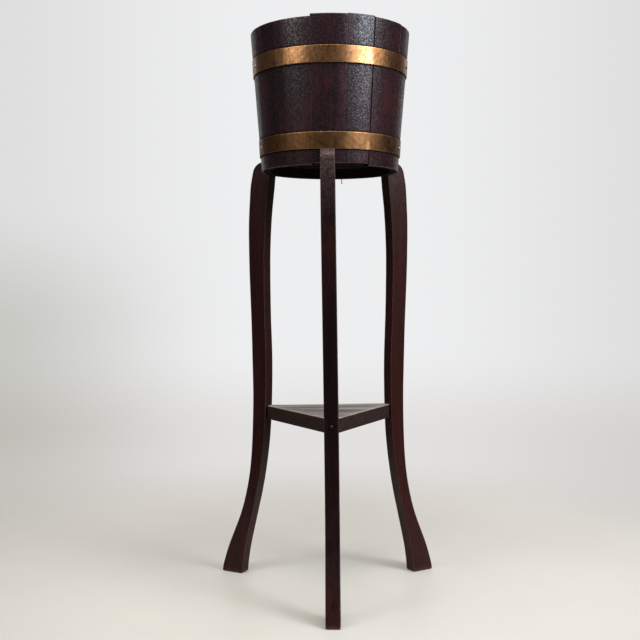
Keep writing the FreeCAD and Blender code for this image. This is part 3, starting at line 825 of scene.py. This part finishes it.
STEEL_NOISE = {"haze": (1.0, 300.0, 4.0, 0.6, 0.0), "specks": (1.0, 1600.0, 2.0, 0.6, 0.0)}
STEEL_SPANS = {"haze": (0.42, 0.7, 0.0, 1.0), "rough": (0.3, 0.7, -0.08, 0.15)}
STEEL_RELIEFS = ((0.3, 0.00005),)
SCREW_ROUGHNESS, NAIL_ROUGHNESS = 0.32, 0.6

NODE_START, NODE_STEP, NODE_COLUMNS = (-1800, 600), (170, -220), 10  # how the node editor shows a finish


def tint(colour, shade=1.0):
    """A colour with full alpha, made lighter or darker."""
    return tuple(part * shade for part in colour) + (1.0,)


class Finish:
    """The nodes of one procedural finish, which finds its spans by their names."""

    def __init__(self, name, spans):
        self.material = bpy.data.materials.new(name)
        self.material.use_nodes = True
        self.tree = self.material.node_tree
        self.surface = self.tree.nodes["Principled BSDF"]
        self.spans = spans
        self.count = 0

    def add(self, kind, **choices):
        """Adds a node and makes its choices."""
        node = self.tree.nodes.new(kind)
        row, column = divmod(self.count, NODE_COLUMNS)
        node.location = (NODE_START[0] + NODE_STEP[0] * column, NODE_START[1] + NODE_STEP[1] * row)
        self.count += 1
        for key, value in choices.items():
            setattr(node, key, value)
        return node

    def feed(self, socket, value):
        """Links an output to a socket, or sets the socket to a plain value."""
        if isinstance(value, bpy.types.NodeSocket):
            self.tree.links.new(value, socket)
        else:
            socket.default_value = value

    def feed_all(self, node, **values):
        """Feeds a node's inputs, which are named with underscores for spaces."""
        for key, value in values.items():
            self.feed(node.inputs[key.replace("_", " ")], value)

    def stored(self, key, output="Fac"):
        """What the mesh stores under a name."""
        return self.add("ShaderNodeAttribute", attribute_name=key).outputs[output]

    def place(self):
        """The place on the object."""
        return self.add("ShaderNodeTexCoord").outputs["Object"]

    def stretched(self, vector, scale):
        """A place with its three directions scaled."""
        node = self.add("ShaderNodeMapping")
        self.feed_all(node, Vector=vector, Scale=scale)
        return node.outputs["Vector"]

    def clouds(self, vector, scale, detail, roughness, distortion=0.0):
        """Cloudy noise, mostly between 0.3 and 0.7."""
        node = self.add("ShaderNodeTexNoise")
        self.feed_all(node, Vector=vector, Scale=scale, Detail=detail, Roughness=roughness,
                      Distortion=distortion)
        return node.outputs["Fac"]

    def layers(self, vector, noises):
        """A list of noises, in the order in which they are given."""
        made = []
        for stretch, *noise in noises.values():
            place = vector if stretch == 1 else self.stretched(vector, (1.0, 1.0, stretch))
            made.append(self.clouds(place, *noise))
        return made

    def spread(self, value, span, base=0.0, times=1.0):
        """A value stretched over a span and kept within it, then multiplied and added to a base."""
        low, high, to_low, to_high = self.spans[span]
        node = self.add("ShaderNodeMapRange")
        self.feed_all(node, Value=value, From_Min=low, From_Max=high, To_Min=base + times * to_low,
                      To_Max=base + times * to_high)
        return node.outputs["Result"]

    def reckon(self, first, second, how="ADD"):
        """Two values added, or joined in another way."""
        node = self.add("ShaderNodeMath", operation=how)
        self.feed(node.inputs[0], first)
        self.feed(node.inputs[1], second)
        return node.outputs["Value"]

    def blend(self, share, first, second):
        """The first colour, which gives way to the second as the share grows."""
        node = self.add("ShaderNodeMix", data_type="RGBA")
        colours = [socket for socket in node.inputs if socket.type == "RGBA"]
        self.feed(node.inputs["Factor"], share)
        self.feed(colours[0], first)
        self.feed(colours[1], second)
        return next(socket for socket in node.outputs if socket.type == "RGBA")

    def laid(self, under, value, span, over, times=1.0):
        """A colour that gives way to another as a value grows over a span."""
        return self.blend(self.spread(value, span, times=times), under, over)

    def relief(self, heights, reliefs):
        """Relief from one or more heights, each laid over the one before."""
        before = None
        for height, (strength, depth) in zip(heights, reliefs):
            node = self.add("ShaderNodeBump")
            self.feed_all(node, Height=height, Strength=strength, Distance=depth)
            if before is not None:
                self.feed_all(node, Normal=before)
            before = node.outputs["Normal"]
        return before

    def done(self, **sockets):
        """Feeds the surface and gives the material."""
        self.feed_all(self.surface, **sockets)
        return self.material


def varnished_oak(name, settings):
    """Dark stained oak under old varnish. Bands and pores run with the grain, the red ground comes through in
    patches, the edges are rubbed lighter, with a painted highlight along the staves' foot and the legs' tops,
    joints are dirty, the staves' undersides are darker, and painted shade lies beside the hoops. The varnish
    is left in flecks that shine, and is missing on the ends and inner faces."""
    look = Finish(name, OAK_SPANS)
    dark, worn = settings.dark, settings.worn
    bands, pores, patches, speckle, lumps = look.layers(look.stored("grain", "Vector"), OAK_NOISE)
    colour = look.laid(tint(dark), bands, "bands", tint(settings.light))
    ground = look.reckon(look.spread(patches, "red ground"), look.stored("red"), "MAXIMUM")
    colour = look.blend(ground, colour, tint(settings.warm))
    colour = look.laid(colour, pores, "pores", tint(dark, OAK_SHADES["pores"]))
    colour = look.blend(look.stored("tone"), colour, tint(dark, OAK_SHADES["old"]))
    edge = look.reckon(look.stored("wear_and_highlight"), look.spread(lumps, "broken edge"), "MULTIPLY")
    colour = look.laid(colour, edge, "rubbed", tint(worn))
    # rubbed lightest, and the painted highlight along the staves' foot
    colour = look.laid(colour, edge, "rubbed bright", tint(worn, OAK_SHADES["bright"]))
    # joint dirt and the painted shade beside the hoops darken the colour and take the varnish away
    dirt_and_painted_shade = look.stored("dirt_and_painted_shade")
    colour = look.blend(dirt_and_painted_shade, colour, tint(dark, OAK_SHADES["dirty"]))
    bare = look.reckon(look.stored("bare"), dirt_and_painted_shade, "MAXIMUM")
    roughness = look.spread(patches, "rough patches", settings.gloss)
    roughness = look.reckon(look.spread(lumps, "rough lumps"), roughness)
    roughness = look.reckon(roughness, look.spread(pores, "rough pores"))
    roughness = look.reckon(roughness, look.spread(bare, "rough where bare"))
    flecks = look.spread(lumps, "flecks", times=settings.coat)
    flecks = look.reckon(flecks, look.spread(bare, "coat gone"), "MULTIPLY")
    return look.done(
        Base_Color=colour,
        Roughness=roughness,
        Normal=look.relief((pores, speckle, lumps), OAK_RELIEFS),
        Specular_IOR_Level=settings.shine,
        Coat_Weight=flecks,
        Coat_Roughness=COAT_ROUGHNESS,
        Coat_IOR=COAT_IOR,
        Coat_Normal=look.relief((speckle, lumps), COAT_RELIEFS))


def worn_oak(name, dark, light, side):
    """A board whose top has lost its varnish: broad and fine streaks run along the grain, pores are dark, and
    the sides keep their stain."""
    look = Finish(name, SHELF_SPANS)
    streaks, lines, pores = look.layers(look.stored("grain", "Vector"), SHELF_NOISE)
    colour = look.laid(tint(dark), streaks, "streaks", tint(light))
    colour = look.laid(colour, lines, "lines", tint(dark, SHELF_SHADES["lines"]))
    colour = look.laid(colour, look.stored("wear_and_highlight"), "rubbed", tint(light, SHELF_SHADES["rubbed"]))
    stain = tint(side, SHELF_SHADES["dark stain"])
    stain = look.laid(stain, lines, "stain", tint(side, SHELF_SHADES["light stain"]))
    colour = look.blend(look.stored("side"), colour, stain)
    colour = look.laid(colour, pores, "pores", tint(dark, SHELF_SHADES["pores"]))
    return look.done(
        Base_Color=colour,
        Roughness=look.spread(streaks, "rough", SHELF_ROUGHNESS),
        Normal=look.relief((pores, lines), SHELF_RELIEFS),
        Specular_IOR_Level=SHELF_SHINE)


def very_dark_oak(name, dark, light):
    """Very dark dull boards that were never varnished: streaks along the grain, and a few pale scratches."""
    look = Finish(name, BOARD_SPANS)
    bands, pores, scratches = look.layers(look.stored("grain", "Vector"), BOARD_NOISE)
    colour = look.laid(tint(dark), bands, "bands", tint(light))
    colour = look.laid(colour, scratches, "scratches", tint(light, BOARD_SHADES["scratches"]))
    colour = look.laid(colour, pores, "pores", tint(dark, BOARD_SHADES["pores"]))
    return look.done(
        Base_Color=colour,
        Roughness=look.spread(bands, "rough"),
        Normal=look.relief((pores, bands), BOARD_RELIEFS),
        IOR=BOARD_IOR)


def dowel_oak(name, wood):
    """Bare turned wood with its grain along the dowel."""
    look = Finish(name, DOWEL_SPANS)
    grain = look.clouds(look.stretched(look.place(), DOWEL_STRETCH), *DOWEL_NOISE)
    return look.done(
        Base_Color=look.laid(tint(wood), grain, "grain", tint(wood, DOWEL_SHADE)),
        Roughness=look.spread(grain, "rough"),
        Normal=look.relief((grain,), DOWEL_RELIEFS))


def aged_brass(name, bright, brown, dull, gloss, rubbed, tarnish=1.0):
    """Old brass. Brown tarnish lies over it in clouds and drips, dark specks and pits break the shine, and
    edges are rubbed bright, which on the hoops also paints a highlight line along them. Where the mesh
    stores a tone, dark tarnish of the given shade covers it."""
    look = Finish(name, BRASS_SPANS)
    haze, drips, specks, pits = look.layers(look.stored("grain", "Vector"), BRASS_NOISE)
    tone = look.stored("tone")
    colour = look.laid(tint(bright), haze, "haze", tint(brown))
    colour = look.laid(colour, drips, "drips", tint(dull))
    colour = look.laid(colour, specks, "specks", tint(dull, BRASS_SHADES["specks"]))
    colour = look.blend(tone, colour, tint(dull, tarnish))
    if rubbed > 0:
        # rubbed edges are lightened, which on the hoops also paints a highlight line
        shine = tint(bright, BRASS_SHADES["rubbed"])
        colour = look.laid(colour, look.stored("wear_and_highlight"), "rubbed", shine, rubbed)
    roughness = look.reckon(look.spread(haze, "rough haze", gloss), look.spread(specks, "rough specks"))
    roughness = look.reckon(roughness, look.spread(tone, "rough tarnish"))
    return look.done(
        Base_Color=colour,
        Roughness=roughness,
        Normal=look.relief((pits, specks), BRASS_RELIEFS),
        Metallic=1.0)


def black_steel(name, light, rust, gloss):
    """Blackened steel with a little brown rust."""
    look = Finish(name, STEEL_SPANS)
    haze, specks = look.layers(look.stored("grain", "Vector"), STEEL_NOISE)
    return look.done(
        Base_Color=look.laid(tint(light), haze, "haze", tint(rust)),
        Roughness=look.spread(specks, "rough", gloss),
        Normal=look.relief((specks,), STEEL_RELIEFS),
        Metallic=1.0)


# Settings

def size(name, description, default):
    """A length that a user may change."""
    return FloatProperty(name=name, description=description, default=default, min=0.0, unit="LENGTH",
                         precision=5)


def colour(name, description, default):
    """A colour that a user may change."""
    return FloatVectorProperty(name=name, description=description, default=default, subtype="COLOR", min=0.0,
                               max=1.0)


def share(name, description, default):
    """A share between nothing and all that a user may change."""
    return FloatProperty(name=name, description=description, default=default, min=0.0, max=1.0,
                         subtype="FACTOR")


def amount(name, description, default):
    """A strength that a user may change."""
    return FloatProperty(name=name, description=description, default=default, min=0.0)


class StaveSettings(bpy.types.PropertyGroup):
    """Sizes and colours of the staves."""
    arris: size("Arris", "Rounding along the joints", 0.0004)
    planed_share: share("Planed share", "How far each stave is planed from round towards flat", 0.03)
    ripple: size("Ripple", "Unevenness that the plane leaves", 0.00012)
    nick: size("Nicks", "Depth of the nicks in the rim", 0.0006)
    groove_play: size("Groove play", "Room round the tongue of the bottom", 0.0002)
    wear_reach: size("Wear reach", "How far rubbing runs in from an edge", 0.0014)
    # foot rubbing is made strong to paint a highlight along the lower edge
    foot_rub_and_highlight: amount("Foot wear", "How strongly the lower edge is rubbed", 2.6)
    foot_reach: size("Foot reach", "How far rubbing runs in from the lower edge", 0.0006)
    joint_reach: size("Joint dirt", "How far dirt runs out from a joint", 0.0005)
    shine: share("Shine", "Reflection of the stained wood", 0.13)
    gloss: share("Roughness", "Roughness of the varnish", 0.4)
    coat: share("Coat", "Weight of the varnish in its flecks", 1.0)
    dark: colour("Dark stain", "Darkest tone of the stain", (0.0090, 0.0027, 0.0040))
    light: colour("Light stain", "Lightest tone of the stain", (0.0305, 0.0073, 0.0102))
    warm: colour("Red ground", "Ground that shows through the stain", (0.052, 0.0105, 0.0095))
    worn: colour("Rubbed edge", "Colour of rubbed edges", (0.11, 0.08, 0.072))


class HoopSettings(bpy.types.PropertyGroup):
    """Sizes and colours of the hoops, pins and screws."""
    corner: size("Corner", "Rounding of the strip's edges", 0.0003)
    planed_share: share("Planed share", "How far a hoop follows the flats of the staves", 0.1)
    step_length: size("Step", "Length over which the lap steps out", 0.005)
    dent: size("Dents", "Depth of the dents", 0.00012)
    bend: size("Bend", "How far a hoop is drawn in beside the open joint that it is bent over", 0.0002)
    wear_reach: size("Wear reach", "How far rubbing runs in from an edge", 0.0009)
    lower_tarnish: share("Lower tarnish", "How much more the lower hoop is tarnished", 0.7)
    gloss: share("Roughness", "Roughness of the brass", 0.24)
    pin_gloss: share("Pin roughness", "Roughness of the pins and rivets", 0.28)
    pin: colour("Pin brass", "Rubbed metal of the pins", (0.98, 0.84, 0.58))
    pin_brown: colour("Pin tarnish", "Tarnish of the pins", (0.8, 0.6, 0.35))
    bright: colour("Bright brass", "Rubbed metal", (0.58, 0.292, 0.13))
    brown: colour("Tarnish", "Brown tarnish", (0.35, 0.16, 0.058))
    dull: colour("Dark tarnish", "Darkest tarnish", (0.12, 0.056, 0.022))
    steel: colour("Steel", "Blackened steel", (0.026, 0.024, 0.024))
    rust: colour("Rust", "Rust on the steel", (0.022, 0.01, 0.007))
    nail: colour("Nail", "Steel of the nail", (0.012, 0.01, 0.01))
    nail_rust: colour("Nail rust", "Rust on the nail", (0.018, 0.008, 0.005))


class LegSettings(bpy.types.PropertyGroup):
    """Sizes and colours of the legs, the shelf and the bottom."""
    round: size("Round", "Rounding of the long edges", 0.0012)
    sole_bevel: size("Sole bevel", "Bevel round the sole", 0.0018)
    shoulder_radius: size("Shoulder", "Round over the top of a leg", 0.022)
    seat_overlap: size("Hidden overlap", "How far the back runs into the tub before it is hollowed", 0.003)
    glue_line: size("Glue line", "Room between a leg and the staves", 0.00005)
    ripple: size("Ripple", "Unevenness of the scraped faces", 0.0002)
    hollow: size("Hollow", "How far the shelf's top has sunk", 0.0003)
    rub_reach: size("Rub reach", "How far the shelf's top is rubbed in from its edges", 0.007)
    # the scuffed top is lightened, partly as a painted highlight
    scuff_reach: size("Scuff reach", "How far the scuffed top of a leg runs down", 0.08)
    shine: share("Shine", "Reflection of the stained wood", 0.06)
    gloss: share("Roughness", "Roughness of the varnish", 0.4)
    coat: share("Coat", "Weight of the varnish in its flecks", 0.25)
    dark: colour("Dark stain", "Darkest tone of the legs", (0.0060, 0.0026, 0.0028))
    light: colour("Light stain", "Lightest tone of the legs", (0.023, 0.0085, 0.0083))
    warm: colour("Red ground", "Ground that shows through the stain", (0.052, 0.0105, 0.0075))
    worn: colour("Rubbed edge", "Colour of rubbed edges", (0.115, 0.08, 0.073))
    shelf_dark: colour("Shelf dark", "Dark streaks of the shelf", (0.08, 0.063, 0.057))
    shelf_light: colour("Shelf light", "Worn streaks of the shelf", (0.385, 0.337, 0.305))
    shelf_side: colour("Shelf side", "Stain on the sides of the shelf", (0.031, 0.015, 0.013))
    bottom_dark: colour("Bottom dark", "Stain of the bottom boards", (0.005, 0.004, 0.004))
    bottom_light: colour("Bottom light", "Lighter streaks of the bottom boards", (0.013, 0.0105, 0.0105))
    bare: colour("Bare wood", "Dowels", (0.35, 0.22, 0.12))


class StageSettings(bpy.types.PropertyGroup):
    """The floor, the backdrop, the lights and the camera."""
    floor: colour("Floor", "Colour of the floor", (0.65, 0.615, 0.545))
    floor_gloss: share("Floor roughness", "Roughness of the floor", 0.4)
    floor_shine: share("Floor shine", "Reflection of the floor", 0.16)
    floor_radius: size("Floor radius", "Size of the floor", 3.2)
    fade_start: size("Fade start", "Distance at which the floor begins to fade", 0.25)
    fade_end: size("Fade end", "Distance at which the floor is gone", 1.25)
    fade_middle: size("Fade middle", "How far behind the stand the floor has its middle", 0.15)
    backdrop_radius: size("Backdrop radius", "Distance of the backdrop", 9.0)
    backdrop: colour("Backdrop", "Colour of the pale backdrop behind the stand", (0.85, 0.855, 0.865))
    backdrop_side: colour("Backdrop side", "Colour of the backdrop to the sides", (0.72, 0.72, 0.72))
    horizon: colour("Horizon", "What the floor's warmth takes from the backdrop low down", (0.9, 0.875, 0.85))
    left_dim: colour("Left dimming", "What the backdrop loses low down at the left", (0.215, 0.22, 0.262))
    room_light: amount("Room light", "Even light from all round", 0.065)
    right_box: amount("Right light", "Brightness of the soft box at the right", 9.8)
    right_glow: amount("Right glow", "Brightness of the wide light round the right box", 2.2)
    right_fill: amount("Right fill", "Brightness of the weaker light high at the right", 3.15)
    left_box: amount("Left light", "Brightness of the soft box at the left", 4.2)
    left_glow: amount("Left glow", "Brightness of the wide light round the left box", 0.7)
    top_box: amount("Top light", "Brightness of the wide light overhead", 1.4)
    top_lamp: amount("Top lamp", "Brightness of the smaller light overhead, in front of the stand", 6.4)
    back_box: amount("Back light", "Brightness of the light behind", 0.5)
    camera_distance: size("Camera distance", "From the camera to the tub's axis", 1.69648)
    camera_height: size("Camera height", "Camera above the floor", 0.54147)
    pitch: FloatProperty(name="Pitch", description="How far the camera looks down", default=0.040109,
                         subtype="ANGLE", precision=4)
    yaw: FloatProperty(name="Yaw", description="How far the camera looks to the right", default=-0.010075,
                       subtype="ANGLE", precision=4)
    lens: FloatProperty(name="Lens", description="Focal length for a sensor 36 mm wide", default=54.2286,
                        min=10.0, unit="CAMERA", precision=3)


class PlantStandSettings(bpy.types.PropertyGroup):
    """All settings of the plant stand."""
    staves: PointerProperty(name="Staves", description="The staves", type=StaveSettings)
    hoops: PointerProperty(name="Hoops", description="The hoops and fasteners", type=HoopSettings)
    legs: PointerProperty(name="Legs", description="The legs, the shelf and the bottom", type=LegSettings)
    stage: PointerProperty(name="Stage", description="The floor, lights and camera", type=StageSettings)


# Operators

class PLANT_STAND_OT_staves(bpy.types.Operator):
    """Shape and stain the fourteen staves"""
    bl_idname = "plant_stand.staves"
    bl_label = "Staves"

    def execute(self, context):
        look = context.scene.plant_stand.staves
        finish = varnished_oak("stained_staves", look)
        for index, name in enumerate(STAVES):
            make_stave(index, name, look, finish)
        return {"FINISHED"}


class PLANT_STAND_OT_hoops(bpy.types.Operator):
    """Shape the brass hoops with their rivets and pins"""
    bl_idname = "plant_stand.hoops"
    bl_label = "Hoops"

    def execute(self, context):
        look = context.scene.plant_stand.hoops
        strip = aged_brass("hoop_brass_aged", look.bright, look.brown, look.dull, look.gloss, HOOP_RUB_AND_HIGHLIGHT)
        heads = aged_brass("pin_brass_aged", look.pin, look.pin_brown, look.pin_brown, look.pin_gloss,
                           PIN_RUBBED, PIN_TARNISH)
        for index, name in enumerate(HOOPS):
            make_hoop(index, name, look, strip)
            smoothed_copy(name + "_rivets", METAL_CREASE, heads, "z", look.planed_share)
            pins = smoothed_copy(name + "_pins", METAL_CREASE, heads, "z", look.planed_share)
            if name == "hoop_upper":
                tarnish_right(pins.data)
        return {"FINISHED"}


class PLANT_STAND_OT_legs(bpy.types.Operator):
    """Shape and stain the three legs"""
    bl_idname = "plant_stand.legs"
    bl_label = "Legs"

    def execute(self, context):
        look = context.scene.plant_stand.legs
        finish = varnished_oak("stained_legs", look)
        for index, name in enumerate(LEGS):
            make_leg(index, name, look, finish)
        return {"FINISHED"}


class PLANT_STAND_OT_shelf(bpy.types.Operator):
    """Shape the shelf and the bottom boards, and finish the dowels"""
    bl_idname = "plant_stand.shelf"
    bl_label = "Shelf and bottom"

    def execute(self, context):
        look = context.scene.plant_stand.legs
        make_shelf(look, worn_oak("worn_shelf", look.shelf_dark, look.shelf_light, look.shelf_side))
        finish = very_dark_oak("very_dark_boards", look.bottom_dark, look.bottom_light)
        for name in BOARDS:
            smoothed_copy(name, WOOD_CREASE, finish, "x")
        dowels = NODES["bottom_dowels"].data
        dowels.materials.clear()
        dowels.materials.append(dowel_oak("bare_dowels", look.bare))
        return {"FINISHED"}


class PLANT_STAND_OT_screws(bpy.types.Operator):
    """Finish the screws and the nail"""
    bl_idname = "plant_stand.screws"
    bl_label = "Screws and nail"

    def execute(self, context):
        look = context.scene.plant_stand.hoops
        finish = black_steel("blackened_steel", look.steel, look.rust, SCREW_ROUGHNESS)
        for name in ("shelf_screws", "tub_screws"):
            smoothed_copy(name, SCREW_CREASE, finish, "z")
        finish = black_steel("nail_steel", look.nail, look.nail_rust, NAIL_ROUGHNESS)
        smoothed_copy("bottom_nail", SCREW_CREASE, finish, "z")
        return {"FINISHED"}


# Stage

FLOOR_SIDES = 96
FLOOR_NOISE = {"mottle": (1.0, 2.2, 5.0, 0.6, 0.0), "grit": (1.0, 90.0, 3.0, 0.6, 0.0)}
MOTTLE_SPAN, MOTTLE_SHADE = (0.35, 0.65, 0.0, 1.0), 0.95
FLOOR_RELIEFS = ((0.1, 0.0005),)

DOME_SIDES, DOME_LEVELS = 288, 240
DOME_RISE = (-0.35, 0.495)  # lowest and highest level, in half turns

# Where the backdrop changes, in degrees from its middle or below the level of the dome's centre
SIDES_SPAN = (4.5, 26)
HORIZON_SPAN = (1.2, 7.5)
LEFT_SPAN, LEFT_LOW_SPAN, LEFT_LOWEST_SPAN = (6, 24), (-9, 0), (5.5, 9.5)
LEFT_EASED = 0.32  # how much less the left is dimmed lowest down

SENSOR_WIDTH = 36.0
ROOM_TONE = (0.96, 0.98, 1.0, 1.0)
BLUE, PALE_BLUE, FAINT_BLUE = (0.80, 0.87, 1.0), (0.95, 0.97, 1.0), (0.97, 0.98, 1.0)
WARM, FAINT_WARM = (1.0, 0.97, 0.94), (1.0, 0.98, 0.95)
TUB_MIDDLE, STAND_FOOT, STAND_MIDDLE = (0.0, 0.0, 0.85), (0.0, 0.0, 0.0), (0.0, 0.0, 0.8)
SIDE_AWAY = 2.2  # distance of the side lights from the tub's axis


def beside(degrees, height):
    """The place of a side light at an angle from the front."""
    turn = math.radians(degrees)
    return SIDE_AWAY * math.sin(turn), -SIDE_AWAY * math.cos(turn), height


# Each light by the name of its brightness: tone, place, what it faces, width and height
LIGHTS = {
    "right_box": (BLUE, beside(53, 1.66), TUB_MIDDLE, 0.85, 1.25),
    "right_glow": (BLUE, beside(45, 1.66), TUB_MIDDLE, 1.9, 1.25),
    "left_box": (PALE_BLUE, beside(-53, 1.86), TUB_MIDDLE, 0.85, 1.25),
    "left_glow": (PALE_BLUE, beside(-40, 1.95), TUB_MIDDLE, 1.9, 1.25),
    "right_fill": (WARM, (1.9, -0.9, 2.1), TUB_MIDDLE, 1.6, 1.6),
    "top_box": (FAINT_WARM, (0.0, 0.0, 2.6), STAND_FOOT, 3.0, 3.0),
    "top_lamp": (FAINT_WARM, (0.0, -0.8, 2.6), STAND_FOOT, 1.0, 1.0),
    "back_box": (FAINT_BLUE, (0.0, 3.0, 1.2), STAND_MIDDLE, 5.0, 2.4),
}


def make_floor(look):
    """A round pale floor that fades out with the distance from the stand."""
    finish = Finish("pale_floor", {"mottle": MOTTLE_SPAN, "fade": (look.fade_start, look.fade_end, 1.0, 0.0)})
    place = finish.place()
    mottle, grit = finish.layers(place, FLOOR_NOISE)
    centred = finish.add("ShaderNodeMapping")
    finish.feed_all(centred, Vector=place, Location=(0.0, -look.fade_middle, 0.0))
    distance = finish.add("ShaderNodeVectorMath", operation="LENGTH")
    finish.feed(distance.inputs[0], centred.outputs["Vector"])
    seen = finish.spread(distance.outputs["Value"], "fade")
    seen.node.interpolation_type = "SMOOTHERSTEP"
    surface = finish.done(
        Base_Color=finish.laid(tint(look.floor), mottle, "mottle", tint(look.floor, MOTTLE_SHADE)),
        Roughness=look.floor_gloss,
        Specular_IOR_Level=look.floor_shine,
        Normal=finish.relief((grit,), FLOOR_RELIEFS),
        Alpha=seen)
    turn = all_round(FLOOR_SIDES)
    rim = np.stack([np.cos(turn), np.sin(turn), 0 * turn], axis=-1) * look.floor_radius
    mesh = bpy.data.meshes.new("floor")
    mesh.from_pydata(rim.tolist(), [], [list(range(len(rim)))])
    mesh.materials.append(surface)
    return mesh


def fade(angle, span):
    """Nothing up to the first of two angles in degrees, all from the second, for each of three colours."""
    start, end = span
    return soft_step(angle, math.radians(start), math.radians(end))[..., None]


def make_backdrop(look):
    """A dome round the stage, brightest behind the stand, with its colours stored on it. It darkens towards
    the sides, is warmer below the horizon, and is dimmer low down at the left."""
    finish = Finish("backdrop", {})
    finish.tree.nodes.remove(finish.surface)
    glow = finish.add("ShaderNodeEmission")
    finish.feed_all(glow, Color=finish.stored("glow", "Color"))
    finish.feed_all(finish.tree.nodes["Material Output"], Surface=glow.outputs["Emission"])
    turn, rise = np.meshgrid(all_round(DOME_SIDES), np.linspace(*DOME_RISE, DOME_LEVELS) * math.pi)
    way = np.stack([np.cos(turn) * np.cos(rise), np.sin(turn) * np.cos(rise), np.sin(rise)], axis=-1)
    mesh = tube("backdrop", way * look.backdrop_radius)
    mesh.materials.append(finish.material)
    off = np.arccos(np.clip(np.sin(turn), -1, 1))
    away = fade(off, SIDES_SPAN)
    low = fade(-rise, HORIZON_SPAN)
    left = fade(np.where(np.cos(turn) < 0, off, 0), LEFT_SPAN)
    dim = np.array(look.left_dim) * left * fade(-rise, LEFT_LOW_SPAN)
    dim = dim * (1 - LEFT_EASED * fade(-rise, LEFT_LOWEST_SPAN))
    colours = np.array(look.backdrop) * (1 - away) + np.array(look.backdrop_side) * away
    store(mesh, "glow", colours * (1 - dim) * (1 - low + np.array(look.horizon) * low))
    return mesh


def add_light(name, brightness, tone, place, towards, width, height):
    """A soft box whose face is equally bright whatever its size."""
    lamp = bpy.data.lights.new(name, "AREA")
    lamp.shape = "RECTANGLE"
    lamp.size = width
    lamp.size_y = height
    lamp.energy = brightness * width * height * math.pi
    lamp.color = tone
    light = add_object(name, lamp)
    light.location = place
    light.rotation_euler = (Vector(towards) - Vector(place)).to_track_quat("-Z", "Y").to_euler()
    light.visible_camera = False


def add_camera(look):
    """The camera stands in front of the tub's axis and looks a little down and to the side."""
    lens = bpy.data.cameras.new("camera")
    lens.sensor_fit = "HORIZONTAL"
    lens.sensor_width = SENSOR_WIDTH
    lens.lens = look.lens
    camera = add_object("camera", lens)
    camera.location = (AXIS[0], AXIS[1] - look.camera_distance, look.camera_height)
    camera.rotation_euler = (math.pi / 2 - look.pitch, 0, -look.yaw)
    bpy.context.scene.camera = camera


class PLANT_STAND_OT_stage(bpy.types.Operator):
    """Set up the floor, the backdrop, the lights and the camera"""
    bl_idname = "plant_stand.stage"
    bl_label = "Stage"

    def execute(self, context):
        look = context.scene.plant_stand.stage
        for mesh in (make_floor(look), make_backdrop(look)):
            piece = add_object(mesh.name, mesh)
            if mesh.name == "backdrop":
                piece.visible_diffuse = False
                piece.visible_glossy = False
                piece.visible_transmission = False
                piece.visible_shadow = False
        world = bpy.data.worlds.new("room")
        world.use_nodes = True
        sky = world.node_tree.nodes["Background"]
        sky.inputs["Color"].default_value = ROOM_TONE
        sky.inputs["Strength"].default_value = look.room_light
        context.scene.world = world
        for name, light in LIGHTS.items():
            add_light(name, getattr(look, name), *light)
        add_camera(look)
        context.scene.view_settings.view_transform = "Standard"
        return {"FINISHED"}


class VIEW3D_PT_plant_stand(bpy.types.Panel):
    """Lists the steps and settings of the plant stand"""
    bl_label = "Plant stand"
    bl_space_type = "VIEW_3D"
    bl_region_type = "UI"
    bl_category = "Plant stand"

    def draw(self, context):
        for step in STEPS:
            self.layout.operator(step.bl_idname)
        settings = context.scene.plant_stand
        for group in (settings.staves, settings.hoops, settings.legs, settings.stage):
            box = self.layout.box()
            for key in group.__annotations__:
                box.prop(group, key)


STEPS = (PLANT_STAND_OT_staves, PLANT_STAND_OT_hoops, PLANT_STAND_OT_legs, PLANT_STAND_OT_shelf,
         PLANT_STAND_OT_screws, PLANT_STAND_OT_stage)
CLASSES = (StaveSettings, HoopSettings, LegSettings, StageSettings, PlantStandSettings) + STEPS + (
    VIEW3D_PT_plant_stand,)


def register():
    """Makes the settings, steps and panel known."""
    for part in CLASSES:
        bpy.utils.register_class(part)
    bpy.types.Scene.plant_stand = PointerProperty(type=PlantStandSettings)


def unregister():
    """Takes the settings, steps and panel away."""
    del bpy.types.Scene.plant_stand
    for part in reversed(CLASSES):
        bpy.utils.unregister_class(part)


def main():
    """Runs every step in order."""
    register()
    bpy.ops.plant_stand.staves()
    bpy.ops.plant_stand.hoops()
    bpy.ops.plant_stand.legs()
    bpy.ops.plant_stand.shelf()
    bpy.ops.plant_stand.screws()
    bpy.ops.plant_stand.stage()


if __name__ == "__main__":
    main()
